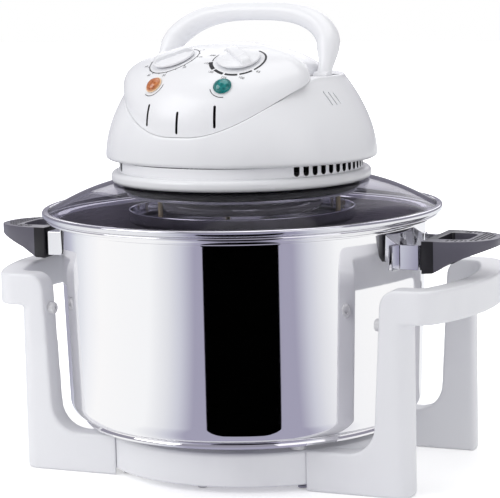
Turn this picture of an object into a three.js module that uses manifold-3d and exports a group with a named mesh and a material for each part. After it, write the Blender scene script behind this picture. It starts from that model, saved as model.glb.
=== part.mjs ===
// Halogen oven: a steel pot in a white stand, closed by a glass lid that carries a round heating head.
// Millimetres, +Z up. The origin is on the table below the pot's axis, and the front is -Y.

import * as THREE from 'three';
import { mergeVertices } from 'three/addons/utils/BufferGeometryUtils.js';
import Module from 'manifold-3d';

const wasm = await Module();
wasm.setup();

// Fits and facets
const gap = 0.3; // left between pieces that touch
const overrun = 3; // how far a cut runs past the face that it opens
const boreGap = 0.4; // round a screw, pin or spindle in its hole
const roundSteps = 36; // facets round a large turned piece
const hiddenSteps = 24; // facets round a turned piece inside the lid
const smallSteps = 12; // facets round a screw, pin, post or stud
const arcSteps = 4; // facets in a rounded corner

// Stand: ring below the pot
const standShift = 7; // its middle to the right of the pot's axis, as the pot is set down
const ringInset = 22.4; // ring's edge inside the pot's lower wall
const ringWidth = 36;
const ringLift = 5.3; // underside over the table
const ringHeight = 27.7;
const ringChamfer = 3;

// Stand: side frames, each two legs and two feet joined by a hand grip
const legInset = 31; // front face of the front leg inside the ring's edge
const legDepth = 21;
const legStand = 18.7; // outer face of a leg beyond the pot's upper wall
const legTopWidth = 24;
const legFootWidth = 31;
const legCorner = 14; // rounding of the outer upright edge
const legBackShare = 2 / 3; // of the depth that it leaves, for the rounding of the inner edge
const legTopCorner = 14; // rounding where the leg turns into the grip
const footRise = 0.6; // foot over the ring
const footFillet = 24;
const gripRoom = 4.5; // below the pot's grips
const gripHeight = 27;
const gripBow = 40.5; // outermost point of the grip beyond the legs
const gripSideRadius = 200;
const gripCorner = 20;
const gripThickness = 20;
const gripBevel = 4;
const tongueLift = 0.6; // tongue of a foot over the table
const tongueLength = 22; // how far it reaches below the ring
const frameScrewRadius = 2;
const frameScrewLength = 17;
const frameScrewHead = 4.2;
const frameScrewHeadHeight = 2;
const studRadius = 5.2;
const studLength = 5.6; // proud of the leg
const studStem = 2.4;
const studStemLength = 7;
const studSeat = 0.8; // how deep it is let into the leg
const studBevel = 2;
const studDrop = 29.5; // below the top of the grip
const padRadius = 7;
const padHeight = 5;
const padInset = 10; // centre of a pad from the ring's edge
const padAngle = 50; // degrees from the side, on both sides, front and rear
const padStem = 3;
const padStemLength = 5;
const padBevel = 1.2;
const ringFootRadius = 4.2;
const ringFootStem = 3;
const ringFootStemLength = 5;
const ringFootBevel = 1.2;

// Pot
const potWall = 1.5;
const discInset = 11.4; // disc's edge inside the pot's lower wall
const discHeight = 5.3;
const discChamfer = 1.6;
const potTaper = 4.9; // how much wider it is at the rim than above its bottom corner
const potTopRadius = 155.3; // outside, just below the rim
const potCorner = 14;
const potDeep = 169.7; // outside, from its floor to the top of its rim
const potRimReach = 11.2; // rim beyond the wall
const potRimRoll = 2;
const potNeck = 5; // height of the flare below the rim
const bracketDrop = 19.1; // top of the bracket below the rim
const bracketHeight = 20.5;
const bracketSheet = 1.5;
const bracketStand = 16.2; // outer face of the bracket beyond the pot's wall
const bracketWidth = 70; // along its outer face
const bracketTab = 10; // spot-welded tab on the pot
const potGripLift = 3.5; // over the bracket
const potGripLength = 55.3;
const potGripHalfWidth = 37;
const potGripRoot = 26.5; // height at the pot
const potGripTip = 6; // height at the tip
const potGripFlat = 9; // length of the full height at the root
const potGripPower = 1.2; // how square its plan is
const fingerInset = 8; // from the grip's root to the finger hole
const fingerLength = 25;
const fingerHalfWidth = 19;
const boltRadius = 2.5;
const boltHead = 5;
const boltHeadHeight = 2.6;
const boltShort = 2; // end of the bolt short of the finger hole

// Lid
const lidGap = 0.3; // lid over the pot's rim
const bandSlack = 0.4; // free height round the edge of the glass
const bandReach = 3.2; // band beyond the pot's rim
const bandSheet = 0.9;
const bandLip = 5;
const glassThickness = 3.2;
const glassRise = 27.5; // top of the flat middle of the glass over the pot's rim
const glassSeatWidth = 14.6; // flat middle of the glass round its hole
const glassHoleGap = 0.6; // round the spigot
const glassBelly = 2.6; // how far the slope bows up from a straight cone

// Heating head, in its own turned frame
const headTurn = -7; // degrees round the pot's axis, as it stands on the pot
const flangeReach = 7; // flange beyond the neck
const flangeHeight = 9.4;
const flangeEdge = 3;
const neckReach = 11.2; // neck beyond the spigot
const neckHeight = 8.9;
const neckWall = 3;
const baseFloor = 3;
const spigotRadius = 91.8;
const spigotWall = 3.6;
const clampReach = 8.2; // clamp ring beyond the spigot
const clampHeight = 4;
const slotWidth = 5.2;
const slotPitch = 4.9; // degrees
const slotCount = 13;
const slotFirstRight = 56; // degrees from the front, to the right
const slotFirstLeft = 46;
const slotLift = 0.7; // slot's lower end over the flange

// Head shell
const shellSideReach = 15; // shell beyond the neck at the sides
const shellFrontReach = 1.5; // shell beyond the neck at the front and rear
const shellWall = 2.5;
const shellRound = 4; // rounding of the lower edge
const shellHeight = 69.1; // to its top edge at the sides and rear
const shellTaperShare = 0.246; // how much the width has drawn in at the ledge
const shellTaperPower = 1.9;
const shellDepthShare = 0.05; // how much rounder the plan is at the ledge
const ledgeLip = 6; // how far the ledge reaches in below the panel's edge
const shellSteps = 6; // facets up its side

// Control panel: the top cover of the head
const panelRise = 26.9; // crown over its lower edge at the sides and rear
const panelDrop = 44.4; // its lower edge at the front below that at the sides
const panelFrontInset = 2.5; // its lower edge inside the shell's lowest outline
const panelFlankInset = 20.5;
const panelRearInset = 30.5;
const panelWaistInset = 2.9; // its edge inside the handle's pockets
const waistLead = 2; // degrees ahead of the pivots where it has drawn in
const flankTurn = 28; // degrees over which it draws in
const rearLag = 5; // degrees behind the pivots where it widens again
const rearTurn = 25;
const edgeStartAngle = 5; // degrees from the front where the lower edge starts to climb
const edgeLead = 10; // degrees ahead of the pivots where it has reached the ledge
const panelCrownPower = 1.9;
const panelFrontPower = 2.4;
const panelRearPower = 1.5;
const panelSlitWidth = 2.2;
const panelSlitHeight = 18;
const panelSlitAngle = 18.5;
const panelSlitLift = 2.5; // lower end of the middle slit over the panel's lower edge
const panelSlitStep = 5; // outer slits over the middle one

// Controls
const dialSide = 31;
const dialOverLamp = 29.5; // dial behind its lamp
const knobRadius = 18;
const knobSkirt = 2.6;
const knobShoulder = 12;
const knobHeight = 4;
const knobBarWidth = 8;
const knobBarHeight = 6.8;
const knobTimerTurn = 35; // degrees that its bar stands off the dial's upright
const knobHeatTurn = -35;
const spindleRadius = 2.8;
const spindleLength = 15;
const bushRadius = 6;
const bushTop = 4.6; // below the panel's outer face
const controlDepth = 11; // top of the control's body below the panel
const controlLong = 30;
const controlWide = 26;
const controlHigh = 18;
const lampSide = 32.5;
const lampInset = 19.5; // lamp behind the panel's front edge
const lampRadius = 7.5;
const lampDome = 3.4;
const lampFlange = 0.8;
const lampBodyRadius = 6;
const lampBodyLength = 14;

// Carry handle: an arch on two pivots, leaning back at rest
const earWall = 2.872; // shell outside a handle pocket, at the top edge
const handleLean = 32; // degrees from upright
const handleApex = 64.7; // centre of the arch over the pivots
const handleBellyReach = 2.5; // widest part of the arch outside its pivots
const handleNeckRise = 9; // where the arms start to thicken
const handleBellyRise = 34;
const handleRadiusApex = 7.8;
const handleRadiusArm = 9.8;
const archWidthPower = 0.7; // how square the arch is across
const archRisePower = 0.75;
const archStraightShare = 0.85; // where its ends turn upright
const handleSteps = 24;
const handleSides = 10;
const bossHalf = 6.3;
const bossWall = 4.1; // round the bore of a boss
const camRadius = 5; // round cam on the right boss, off its centre
const camThrow = 3.5;
const camAngle = 20; // degrees from straight down towards the rear, at rest
const pinRadius = 2;
const pinInnerSeat = 6.4; // how far a pin reaches into its inner lug
const pinOuterSeat = 1.8;
const pinSkin = 1.2; // lug beyond the end of a pin
const pinCover = 0.7; // lug over a pin's bore
const pocketFrontRoom = 2; // before the boss
const pocketRear = 21;
const pocketDepth = 11; // below the pivot
const lugDepth = 9; // below the pivot
const lugHalf = 7;

// Handle switch
const plungerRadius = 2.2;
const plungerLength = 13;
const plungerTravel = 1.2; // room below it in the switch
const switchLong = 18;
const switchWide = 12;
const switchHigh = 15;
const switchDrop = 16; // top of the switch below the pivot
const shelfHeight = 2.7;

// Inside the head
const shaftRadius = 3;
const shaftEnd = 5; // below the lower fan
const shaftOver = 12.7; // over the motor's core
const shaftHole = 8;
const shieldReach = 5.2; // shield beyond the spigot
const shieldSheet = 2;
const shieldRim = 0.8;
const tubeRadius = 4.5;
const tubeInset = 22; // circle of the tube inside that of the posts
const tubeDrop = 12; // centre of the heating tube below the shield
const tubeOpening = 16; // half the break in the ring at the rear
const tubeSides = 8;
const clipSpace = 2.7; // half the room between the two clips
const clipWidth = 13;
const clipDepth = 6; // below the centre of the tube
const guardInset = 1; // guard inside the shield
const guardDrop = 15; // its rim below the shield
const guardHeight = 12;
const guardSheet = 1.5;
const guardRound = 4;
const guardSlots = 12;
const guardSlotWidth = 7;
const guardSlotInner = 22;
const guardSlotInset = 18; // outer end of a slot inside the rim
const postRadius = 2;
const postInset = 10; // posts inside the guard's rim
const postFirstAngle = 9; // degrees, in the head's frame
const postCount = 3;
const airFanDrop = 5; // below the shield's top
const airFanHeight = 9;
const airFanInset = 20; // fan inside the circle of the tube
const airFanHub = 8;
const airFanBlades = 6;
const bladeSheet = 1.5;
const coolFanLift = 4.3; // over the feet of the motor's bracket
const coolFanHeight = 10;
const coolFanRadius = 36;
const coolFanBlades = 7;
const motorLift = 4; // plate over the cooling fan
const motorPlate = 2;
const motorPlateLong = 100;
const motorPlateWide = 24;
const coreHeight = 18;
const coreHalf = 30;
const coreDepth = 24;
const coreArm = 12;
const coreReach = 52;
const rotorRadius = 15;
const rotorGap = 0.8; // between the rotor and the core
const coilRoom = 3; // coil shorter than the room between the core's arms
const coilBuild = 5; // winding's thickness round the core
const glandRise = 15; // over the shell's lower edge
const glandRadius = 7;
const glandFlange = 10;
const glandBore = 3.6;
const glandOutside = 4;
const glandInside = 9;

// Values that follow from those: stand and pot
const degree = Math.PI / 180;
const potLowRadius = potTopRadius - potTaper;
const discRadius = potLowRadius - discInset;
const ringRadius = potLowRadius - ringInset;
const legFront = ringRadius - legInset;
const legOuter = potTopRadius + legStand;
const gripReach = legOuter + gripBow;
const padCircle = ringRadius - padInset;
const ringFootCircle = ringRadius - ringWidth / 2;
const ringTop = ringLift + ringHeight;
const footTop = ringTop + footRise;
const potBottom = ringTop + padHeight + gap;
const potFloor = potBottom + discHeight + gap;
const potRimTop = potFloor + potDeep;
const potRimRadius = potTopRadius + potRimReach;
const bracketTop = potRimTop - bracketDrop;
const bracketReach = potTopRadius + bracketStand;
const potGripTop = bracketTop + potGripLift;
const boltLength = fingerInset - boltShort;
const gripTop = potGripTop - potGripRoot - gripRoom;
const studHeight = gripTop - studDrop;

// Lid and head
const bandBottom = potRimTop + lidGap;
const bandHeight = glassThickness + 2 * (bandSheet - gap) + bandSlack;
const bandTop = bandBottom + bandHeight;
const bandRadius = potRimRadius + bandReach;
const glassSeat = potRimTop + glassRise;
const glassHole = spigotRadius + glassHoleGap;
const glassSeatRadius = glassHole + glassSeatWidth;
const neckRadius = spigotRadius + neckReach;
const flangeRadius = neckRadius + flangeReach;
const clampRadius = spigotRadius + clampReach;
const clampTop = glassSeat - glassThickness - gap;
const spigotBottom = clampTop - clampHeight - gap;
const flangeBottom = glassSeat + gap;
const flangeTop = flangeBottom + flangeHeight;
const baseTop = flangeBottom + baseFloor + gap;
const neckTop = flangeTop + neckHeight;
const shellBottom = neckTop + gap;
const shellHalfWidth = neckRadius + shellSideReach;
const shellHalfDepth = neckRadius + shellFrontReach;
const ledgeTop = shellBottom + shellHeight;
const glandHeight = shellBottom + glandRise;
const panelRest = ledgeTop + gap;
const panelTop = panelRest + panelRise;
const panelLow = panelRest - panelDrop;

// Carry handle and its switch
const pivotSide = shellHalfWidth * (1 - shellTaperShare) - earWall - gap - bossHalf;
const pivotHeight = ledgeTop - pinRadius - boreGap - pinCover;
const pocketIn = pivotSide - bossHalf - gap;
const pocketOut = pivotSide + bossHalf + gap;
const handleBelly = pivotSide + handleBellyReach;
const handleRadiusEnd = bossHalf - gap;
const bossRadius = pinRadius + boreGap + bossWall;
const pocketFront = bossRadius + pocketFrontRoom;
const pinInnerEnd = pocketIn - pinInnerSeat;
const pinOuterEnd = pocketOut + pinOuterSeat;
const lugInner = pinInnerEnd - gap - pinSkin;
const switchTop = pivotHeight - switchDrop;
const plungerTop = pivotHeight - camRadius - camThrow * Math.cos(camAngle * degree) - gap;

// Control panel
const panelFrontRadius = shellHalfDepth - panelFrontInset;
const panelFlankRadius = shellHalfWidth - panelFlankInset;
const panelRearRadius = shellHalfDepth - panelRearInset;
const panelWaistRadius = pocketIn - panelWaistInset;
const waistAngle = 90 - waistLead;
const flankAngle = waistAngle - flankTurn;
const rearStartAngle = 90 + rearLag;
const rearEndAngle = rearStartAngle + rearTurn;
const edgeEndAngle = 90 - edgeLead;
const lampFront = panelFrontRadius - lampInset;
const dialFront = lampFront - dialOverLamp;

// Heater, fans and motor
const shieldTop = spigotBottom - gap;
const shieldRadius = spigotRadius + shieldReach;
const guardRadius = shieldRadius - guardInset;
const guardTop = shieldTop - guardDrop;
const guardSlotOuter = guardRadius - guardSlotInset;
const postCircle = guardRadius - postInset;
const tubeCircle = postCircle - tubeInset;
const tubeHeight = shieldTop - tubeDrop;
const airFanTop = shieldTop - airFanDrop;
const airFanRadius = tubeCircle - airFanInset;
const coolFanBottom = baseTop + coolFanLift;
const motorPlateTop = coolFanBottom + coolFanHeight + motorLift + motorPlate;
const coreBottom = motorPlateTop + gap;
const shaftBottom = airFanTop - airFanHeight - shaftEnd;
const shaftTop = coreBottom + coreHeight + shaftOver;
const rotorBore = rotorRadius + rotorGap;
const coilLength = 2 * (coreHalf - coreArm) - coilRoom;

/** A closed geometry as a solid, with its faces turned out. */
function solid(geometry) {
  const plain = geometry.index ? geometry.toNonIndexed() : geometry.clone();
  plain.deleteAttribute('normal');
  plain.deleteAttribute('uv');
  const merged = mergeVertices(plain);
  const points = merged.attributes.position.array;
  const corners = [];
  let volume = 0;
  for (let i = 0; i < merged.index.count; i += 3) {
    const [a, b, c] = [merged.index.getX(i), merged.index.getX(i + 1), merged.index.getX(i + 2)];
    if (a === b || b === c || c === a) continue;
    corners.push(a, b, c);
    const [p, q, r] = [a, b, c].map((k) => new THREE.Vector3().fromArray(points, 3 * k));
    volume += p.dot(q.cross(r));
  }
  if (volume < 0) corners.reverse();
  const mesh = new wasm.Mesh({ numProp: 3, vertProperties: Float32Array.from(points),
    triVerts: Uint32Array.from(corners) });
  return new wasm.Manifold(mesh);
}

/** A solid as a geometry for a three.js mesh. */
function geometryOf(body) {
  const mesh = body.getMesh();
  const geometry = new THREE.BufferGeometry();
  geometry.setAttribute('position', new THREE.BufferAttribute(Float32Array.from(mesh.vertProperties), 3));
  geometry.setIndex(new THREE.BufferAttribute(Uint32Array.from(mesh.triVerts), 1));
  geometry.computeVertexNormals();
  return geometry;
}

/** A piece: a named mesh of one solid in one finish. */
function piece(name, body, finish) {
  const mesh = new THREE.Mesh(geometryOf(body), finish.clone());
  mesh.name = name;
  return mesh;
}

function at(geometry, x, y, z) {
  return geometry.translate(x, y, z);
}

/** A rod along Z from low to high. */
function rod(radius, low, high, steps = smallSteps) {
  return at(new THREE.CylinderGeometry(radius, radius, high - low, steps).rotateX(Math.PI / 2),
    0, 0, (low + high) / 2);
}

/** A rod along X from low to high. */
function rodX(radius, low, high, steps = smallSteps) {
  return rod(radius, low, high, steps).rotateY(Math.PI / 2);
}

/** A block between two opposite corners. */
function block(x0, x1, y0, y1, z0, z1) {
  return at(new THREE.BoxGeometry(x1 - x0, y1 - y0, z1 - z0), (x0 + x1) / 2, (y0 + y1) / 2, (z0 + z1) / 2);
}

/** A turned solid about Z, from a loop or an axis-to-axis run of [radius, height] points. */
function turned(points, steps = roundSteps) {
  const closed = points[0][0] > 0 || points[points.length - 1][0] > 0;
  const loop = closed ? [...points, points[0]] : points;
  const outline = loop.map(([r, z]) => new THREE.Vector2(r, z));
  return solid(new THREE.LatheGeometry(outline, steps).rotateX(Math.PI / 2));
}

/** Points along an arc from one angle to another, in degrees. */
function arc(x, y, radius, from, to, steps = arcSteps) {
  const points = [];
  for (let i = 0; i <= steps; i += 1) {
    const angle = (from + (to - from) * i / steps) * degree;
    points.push([x + radius * Math.cos(angle), y + radius * Math.sin(angle)]);
  }
  return points;
}

/** A flat outline in X and Y, raised along Z from low to high. */
function raised(points, low, high, bevel = 0) {
  const outline = new THREE.Shape(points.map(([x, y]) => new THREE.Vector2(x, y)));
  const options = { depth: high - low - 2 * bevel, bevelEnabled: bevel > 0, bevelThickness: bevel,
    bevelSize: bevel, bevelOffset: -bevel, bevelSegments: 2, curveSegments: arcSteps };
  return at(new THREE.ExtrudeGeometry(outline, options), 0, 0, low + bevel);
}

/** An outline in X and Z, raised along Y from low to high. */
function raisedY(points, low, high, bevel = 0) {
  return raised(points, -high, -low, bevel).rotateX(Math.PI / 2);
}

/** A closed skin round the axis; profileAt gives its [radius, height] points at an angle from the front. */
function skin(profileAt, closed, steps = roundSteps) {
  const rows = [];
  for (let i = 0; i < steps; i += 1) {
    const angle = 360 * i / steps;
    const turn = (angle - 90) * degree;
    const row = profileAt(angle > 180 ? angle - 360 : angle);
    rows.push(row.map(([r, z]) => [r * Math.cos(turn), r * Math.sin(turn), z]));
  }
  const count = rows[0].length;
  const positions = [];
  for (let i = 0; i < steps; i += 1) {
    const here = rows[i];
    const next = rows[(i + 1) % steps];
    for (let j = 0; j < (closed ? count : count - 1); j += 1) {
      const k = (j + 1) % count;
      positions.push(...here[j], ...next[j], ...next[k], ...here[j], ...next[k], ...here[k]);
    }
  }
  const geometry = new THREE.BufferGeometry();
  geometry.setAttribute('position', new THREE.BufferAttribute(Float32Array.from(positions), 3));
  return solid(geometry);
}

/** Several solids joined. */
function joined(first, ...others) {
  return others.reduce((body, other) => body.add(other), first);
}

/** A solid with others cut away. */
function cut(first, ...others) {
  return others.reduce((body, other) => body.subtract(other), first);
}

/** A geometry placed by a matrix, as a solid. */
function moved(geometry, matrix) {
  return solid(geometry.clone().applyMatrix4(matrix));
}

function mix(a, b, share) {
  return a + (b - a) * share;
}

/** A smooth step from 0 to 1 as a value goes from low to high. */
function ease(value, low, high) {
  const share = Math.min(1, Math.max(0, (value - low) / (high - low)));
  return share * share * (3 - 2 * share);
}

// Finishes
const whitePlastic = new THREE.MeshStandardMaterial({ color: 0xf1f1f4, roughness: 0.3, metalness: 0 });
const lidWhite = new THREE.MeshStandardMaterial({ color: 0xf6f6f8, roughness: 0.22, metalness: 0 });
const steel = new THREE.MeshStandardMaterial({ color: 0xd9d9de, roughness: 0.12, metalness: 1 });
const chrome = new THREE.MeshStandardMaterial({ color: 0xe3e3e8, roughness: 0.06, metalness: 1 });
const glass = new THREE.MeshStandardMaterial({ color: 0x8d9099, roughness: 0.05, metalness: 0,
  transparent: true, opacity: 0.45 });
const bakelite = new THREE.MeshStandardMaterial({ color: 0x17171b, roughness: 0.45, metalness: 0 });
const rubber = new THREE.MeshStandardMaterial({ color: 0xdcdce0, roughness: 0.7, metalness: 0 });
const brass = new THREE.MeshStandardMaterial({ color: 0xc9a467, roughness: 0.25, metalness: 1 });
const quartz = new THREE.MeshStandardMaterial({ color: 0xe9e4da, roughness: 0.3, metalness: 0 });
const ceramic = new THREE.MeshStandardMaterial({ color: 0xe7e2d6, roughness: 0.8, metalness: 0 });
const copper = new THREE.MeshStandardMaterial({ color: 0xb5683a, roughness: 0.4, metalness: 1 });
const darkSteel = new THREE.MeshStandardMaterial({ color: 0x5a5b60, roughness: 0.35, metalness: 1 });
const blackPlastic = new THREE.MeshStandardMaterial({ color: 0x202024, roughness: 0.5, metalness: 0 });
const amberLens = new THREE.MeshStandardMaterial({ color: 0xd98544, roughness: 0.15, metalness: 0 });
const greenLens = new THREE.MeshStandardMaterial({ color: 0x138a80, roughness: 0.15, metalness: 0 });

// Stand

/** Places round the ring: front left, front right, rear left and rear right, as [name, side, end]. */
const corners = [['front_left', -1, -1], ['front_right', 1, -1], ['rear_left', -1, 1],
  ['rear_right', 1, 1]];

/** Where a screw stands in the middle of a foot's tongue: its circle, and its angle from the side. */
const screwCircle = ringRadius - tongueLength / 2;
const screwAngle = Math.asin((legFront - legDepth / 2) / screwCircle) / degree;

function cornerPoint(radius, angle, side, end) {
  return [side * radius * Math.cos(angle * degree), end * radius * Math.sin(angle * degree)];
}

function baseRing() {
  const inner = ringRadius - ringWidth;
  const ring = turned([[inner, ringLift], [ringRadius, ringLift], [ringRadius, ringTop - ringChamfer],
    [ringRadius - ringChamfer, ringTop], [inner + ringChamfer, ringTop], [inner, ringTop - ringChamfer]]);
  const cuts = [];
  for (const [, side, end] of corners) {
    const [px, py] = cornerPoint(padCircle, padAngle, side, end);
    const padHole = rod(padStem + boreGap, ringTop - padStemLength - gap, ringTop + overrun);
    cuts.push(solid(at(padHole, px, py, 0)));
    const [sx, sy] = cornerPoint(screwCircle, screwAngle, side, end);
    const screwEnd = tongueLift + frameScrewHeadHeight + frameScrewLength + gap;
    cuts.push(solid(at(rod(frameScrewRadius + boreGap, ringLift - overrun, screwEnd), sx, sy, 0)));
  }
  for (const end of [-1, 1]) {
    const hole = rod(ringFootStem + boreGap, ringLift - overrun, ringLift + ringFootStemLength + gap);
    cuts.push(solid(at(hole, 0, end * ringFootCircle, 0)));
  }
  return cut(ring, ...cuts);
}

/** Where a leg's inner face stands at a height. */
function legInner(z) {
  const top = legOuter - legTopWidth;
  const low = legOuter - legFootWidth;
  return mix(low, top, (z - footTop) / (gripTop - footTop));
}

/** Outline of a leg and its foot seen from the front. */
function legOutline() {
  const topStart = gripTop - legTopCorner;
  const filletTop = footTop + footFillet;
  const inner = legInner(filletTop);
  return [[0, 0], [legOuter, 0], [legOuter, gripTop],
    ...arc(legInner(topStart) + legTopCorner, topStart, legTopCorner, 90, 180),
    ...arc(inner - footFillet, filletTop, footFillet, 0, -90, arcSteps + 2), [0, footTop]];
}

/** Plan of the grip: a bowed bar with its two ends on the legs. */
function gripOutline() {
  const start = legOuter - legDepth / 2;
  const loop = (reach, radius, front, corner) => {
    const centre = reach - radius;
    const cornerY = front - corner;
    const cornerX = centre + Math.sqrt((radius - corner) ** 2 - cornerY ** 2);
    const bend = Math.atan2(cornerY, cornerX - centre) / degree;
    const end = Math.min(start, cornerX);
    return [[end, -front], ...arc(cornerX, -cornerY, corner, -90, -bend),
      ...arc(centre, 0, radius, -bend, bend, 2 * arcSteps).slice(1, -1),
      ...arc(cornerX, cornerY, corner, bend, 90), [end, front]];
  };
  const inner = loop(gripReach - gripThickness, gripSideRadius - gripThickness, legFront - legDepth,
    gripCorner / 2).reverse();
  return [...loop(gripReach, gripSideRadius, legFront, gripCorner), ...inner];
}

/** A side frame, made for the right side. */
function sideFrame() {
  const legCornerBack = (legDepth - legCorner) * legBackShare;
  const uprightPlan = [[0, -legFront],
    ...arc(legOuter - legCorner, legCorner - legFront, legCorner, -90, 0),
    ...arc(legOuter - legCornerBack, legDepth - legFront - legCornerBack, legCornerBack, 0, 90),
    [0, legDepth - legFront]];
  const upright = solid(raisedY(legOutline(), -legFront, legDepth - legFront))
    .intersect(solid(raised(uprightPlan, -overrun, gripTop + overrun)));
  const ringCut = solid(rod(ringRadius + gap, -overrun, footTop + overrun, 2 * roundSteps));
  const front = cut(upright, ringCut);
  const [sx, sy] = cornerPoint(screwCircle, screwAngle, 1, -1);
  const tongueTop = ringLift - gap;
  const tongueInner = solid(rod(ringRadius - tongueLength, 0, ringLift + overrun, 2 * roundSteps));
  const tongueOuter = solid(rod(ringRadius + 4 * gap, tongueLift, tongueTop, 2 * roundSteps));
  const strip = solid(block(legOuter / 4, legOuter, -legFront, legDepth - legFront, tongueLift, tongueTop));
  const tongue = tongueOuter.subtract(tongueInner).intersect(strip);
  const counter = solid(at(rod(frameScrewHead + boreGap, tongueLift - overrun,
    tongueLift + frameScrewHeadHeight + gap), sx, sy, 0));
  const hole = solid(at(rod(frameScrewRadius + boreGap, tongueLift, ringLift + overrun), sx, sy, 0));
  const seat = legInner(studHeight) + studSeat;
  const studHole = at(rodX(studStem + boreGap, seat - overrun, seat + studStemLength + gap),
    0, legDepth / 2 - legFront, studHeight);
  const studRecess = at(rodX(studRadius + boreGap, seat - 2 * overrun, seat), 0, legDepth / 2 - legFront,
    studHeight);
  const leg = cut(joined(front, tongue), counter, hole, solid(studHole), solid(studRecess));
  const grip = solid(raised(gripOutline(), gripTop - gripHeight, gripTop, gripBevel / 2));
  return joined(leg, leg.mirror([0, 1, 0]), grip);
}

/** A stud for a right leg, along X, with its round face towards the pot. */
function legStud() {
  const face = studLength + studSeat;
  const button = turned([[0, 0], [studRadius, 0], [studRadius, studBevel - face],
    [studRadius - studBevel, -face], [0, -face]], smallSteps);
  const stem = solid(rod(studStem, -studSeat, studStemLength));
  return joined(button, stem).rotate([0, 90, 0]);
}

function frameScrew() {
  const low = tongueLift + gap;
  const headTop = tongueLift + frameScrewHeadHeight;
  const shank = rod(frameScrewRadius, low, headTop + frameScrewLength);
  return joined(solid(rod(frameScrewHead, low, headTop)), solid(shank));
}

function potPad() {
  const top = ringTop + padHeight;
  const pad = turned([[0, ringTop + gap], [padRadius, ringTop + gap], [padRadius, top - padBevel],
    [padRadius - padBevel, top], [0, top]], smallSteps);
  return joined(pad, solid(rod(padStem, ringTop - padStemLength, top - padHeight / 2)));
}

function ringFoot() {
  const foot = turned([[0, 0], [ringFootRadius - ringFootBevel, 0], [ringFootRadius, ringFootBevel],
    [ringFootRadius, ringLift - gap], [0, ringLift - gap]], smallSteps);
  return joined(foot, solid(rod(ringFootStem, ringLift / 2, ringLift + ringFootStemLength)));
}

function standGroup() {
  const group = new THREE.Group();
  group.add(piece('base_ring', baseRing(), whitePlastic));
  const right = sideFrame();
  group.add(piece('right_side_frame', right, whitePlastic));
  group.add(piece('left_side_frame', right.mirror([1, 0, 0]), whitePlastic));
  for (const [name, side, end] of corners) {
    const stud = piece(`${name}_leg_stud`, side > 0 ? legStud() : legStud().mirror([1, 0, 0]), rubber);
    const studSide = legInner(studHeight) + studSeat - gap;
    stud.position.set(side * studSide, end * (legFront - legDepth / 2), studHeight);
    group.add(stud);
    const pad = piece(`${name}_pot_pad`, potPad(), rubber);
    const [px, py] = cornerPoint(padCircle, padAngle, side, end);
    pad.position.set(px, py, 0);
    group.add(pad);
    const screw = piece(`${name}_frame_screw`, frameScrew(), darkSteel);
    const [sx, sy] = cornerPoint(screwCircle, screwAngle, side, end);
    screw.position.set(sx, sy, 0);
    group.add(screw);
  }
  for (const [name, end] of [['front', -1], ['rear', 1]]) {
    const foot = piece(`${name}_ring_foot`, ringFoot(), rubber);
    foot.position.set(0, end * ringFootCircle, 0);
    group.add(foot);
  }
  group.position.x = standShift;
  return group;
}

// Pot

function potBody() {
  const cornerZ = potFloor + potCorner;
  const flareBottom = potRimTop - potNeck - 2 * potRimRoll;
  const rimUnder = potRimTop - 2 * potRimRoll;
  const innerCorner = potCorner - potWall;
  const outside = [[0, potFloor], ...arc(potLowRadius - potCorner, cornerZ, potCorner, -90, 0),
    [potTopRadius, flareBottom], [potTopRadius + potRimRoll, rimUnder],
    ...arc(potRimRadius - potRimRoll, rimUnder + potRimRoll, potRimRoll, -90, 90, 4)];
  const inside = [[potTopRadius + potRimRoll, potRimTop], [potTopRadius - potWall, potRimTop - potNeck],
    ...arc(potLowRadius - potCorner, cornerZ, innerCorner, 0, -90), [0, potFloor + potWall]];
  return turned([...outside, ...inside]);
}

function potDisc() {
  return turned([[0, potBottom], [discRadius - discChamfer, potBottom],
    [discRadius, potBottom + discChamfer], [discRadius, potFloor - gap], [0, potFloor - gap]]);
}

/** Outside radius of the pot's wall at a height. */
function potRadius(z) {
  const low = potFloor + potCorner;
  const high = potRimTop - potNeck - 2 * potRimRoll;
  return mix(potLowRadius, potTopRadius, (z - low) / (high - low));
}

/** A sheet strap for the right side: two tabs on the pot and a loop that stands off it. */
function potBracket() {
  const skinRadius = potRadius(bracketTop) + gap;
  const half = bracketWidth / 2;
  const tabStart = Math.asin(half / (skinRadius + bracketSheet)) / degree;
  const tabEnd = tabStart + bracketTab / skinRadius / degree;
  const outerRun = [...arc(0, 0, skinRadius + bracketSheet, -tabEnd, -tabStart, 2),
    [bracketReach, -half], [bracketReach, half],
    ...arc(0, 0, skinRadius + bracketSheet, tabStart, tabEnd, 2)];
  const innerRun = [...arc(0, 0, skinRadius, tabEnd, tabStart - bracketSheet / skinRadius / degree, 2),
    [bracketReach - bracketSheet, half - bracketSheet], [bracketReach - bracketSheet, bracketSheet - half],
    ...arc(0, 0, skinRadius, bracketSheet / skinRadius / degree - tabStart, -tabEnd, 2)];
  const strap = solid(raised([...outerRun, ...innerRun], bracketTop - bracketHeight, bracketTop));
  const hole = rodX(boltRadius + boreGap, bracketReach - bracketSheet - overrun, bracketReach + overrun);
  return cut(strap, solid(at(hole, 0, 0, bracketTop - bracketHeight / 2)));
}

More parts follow.
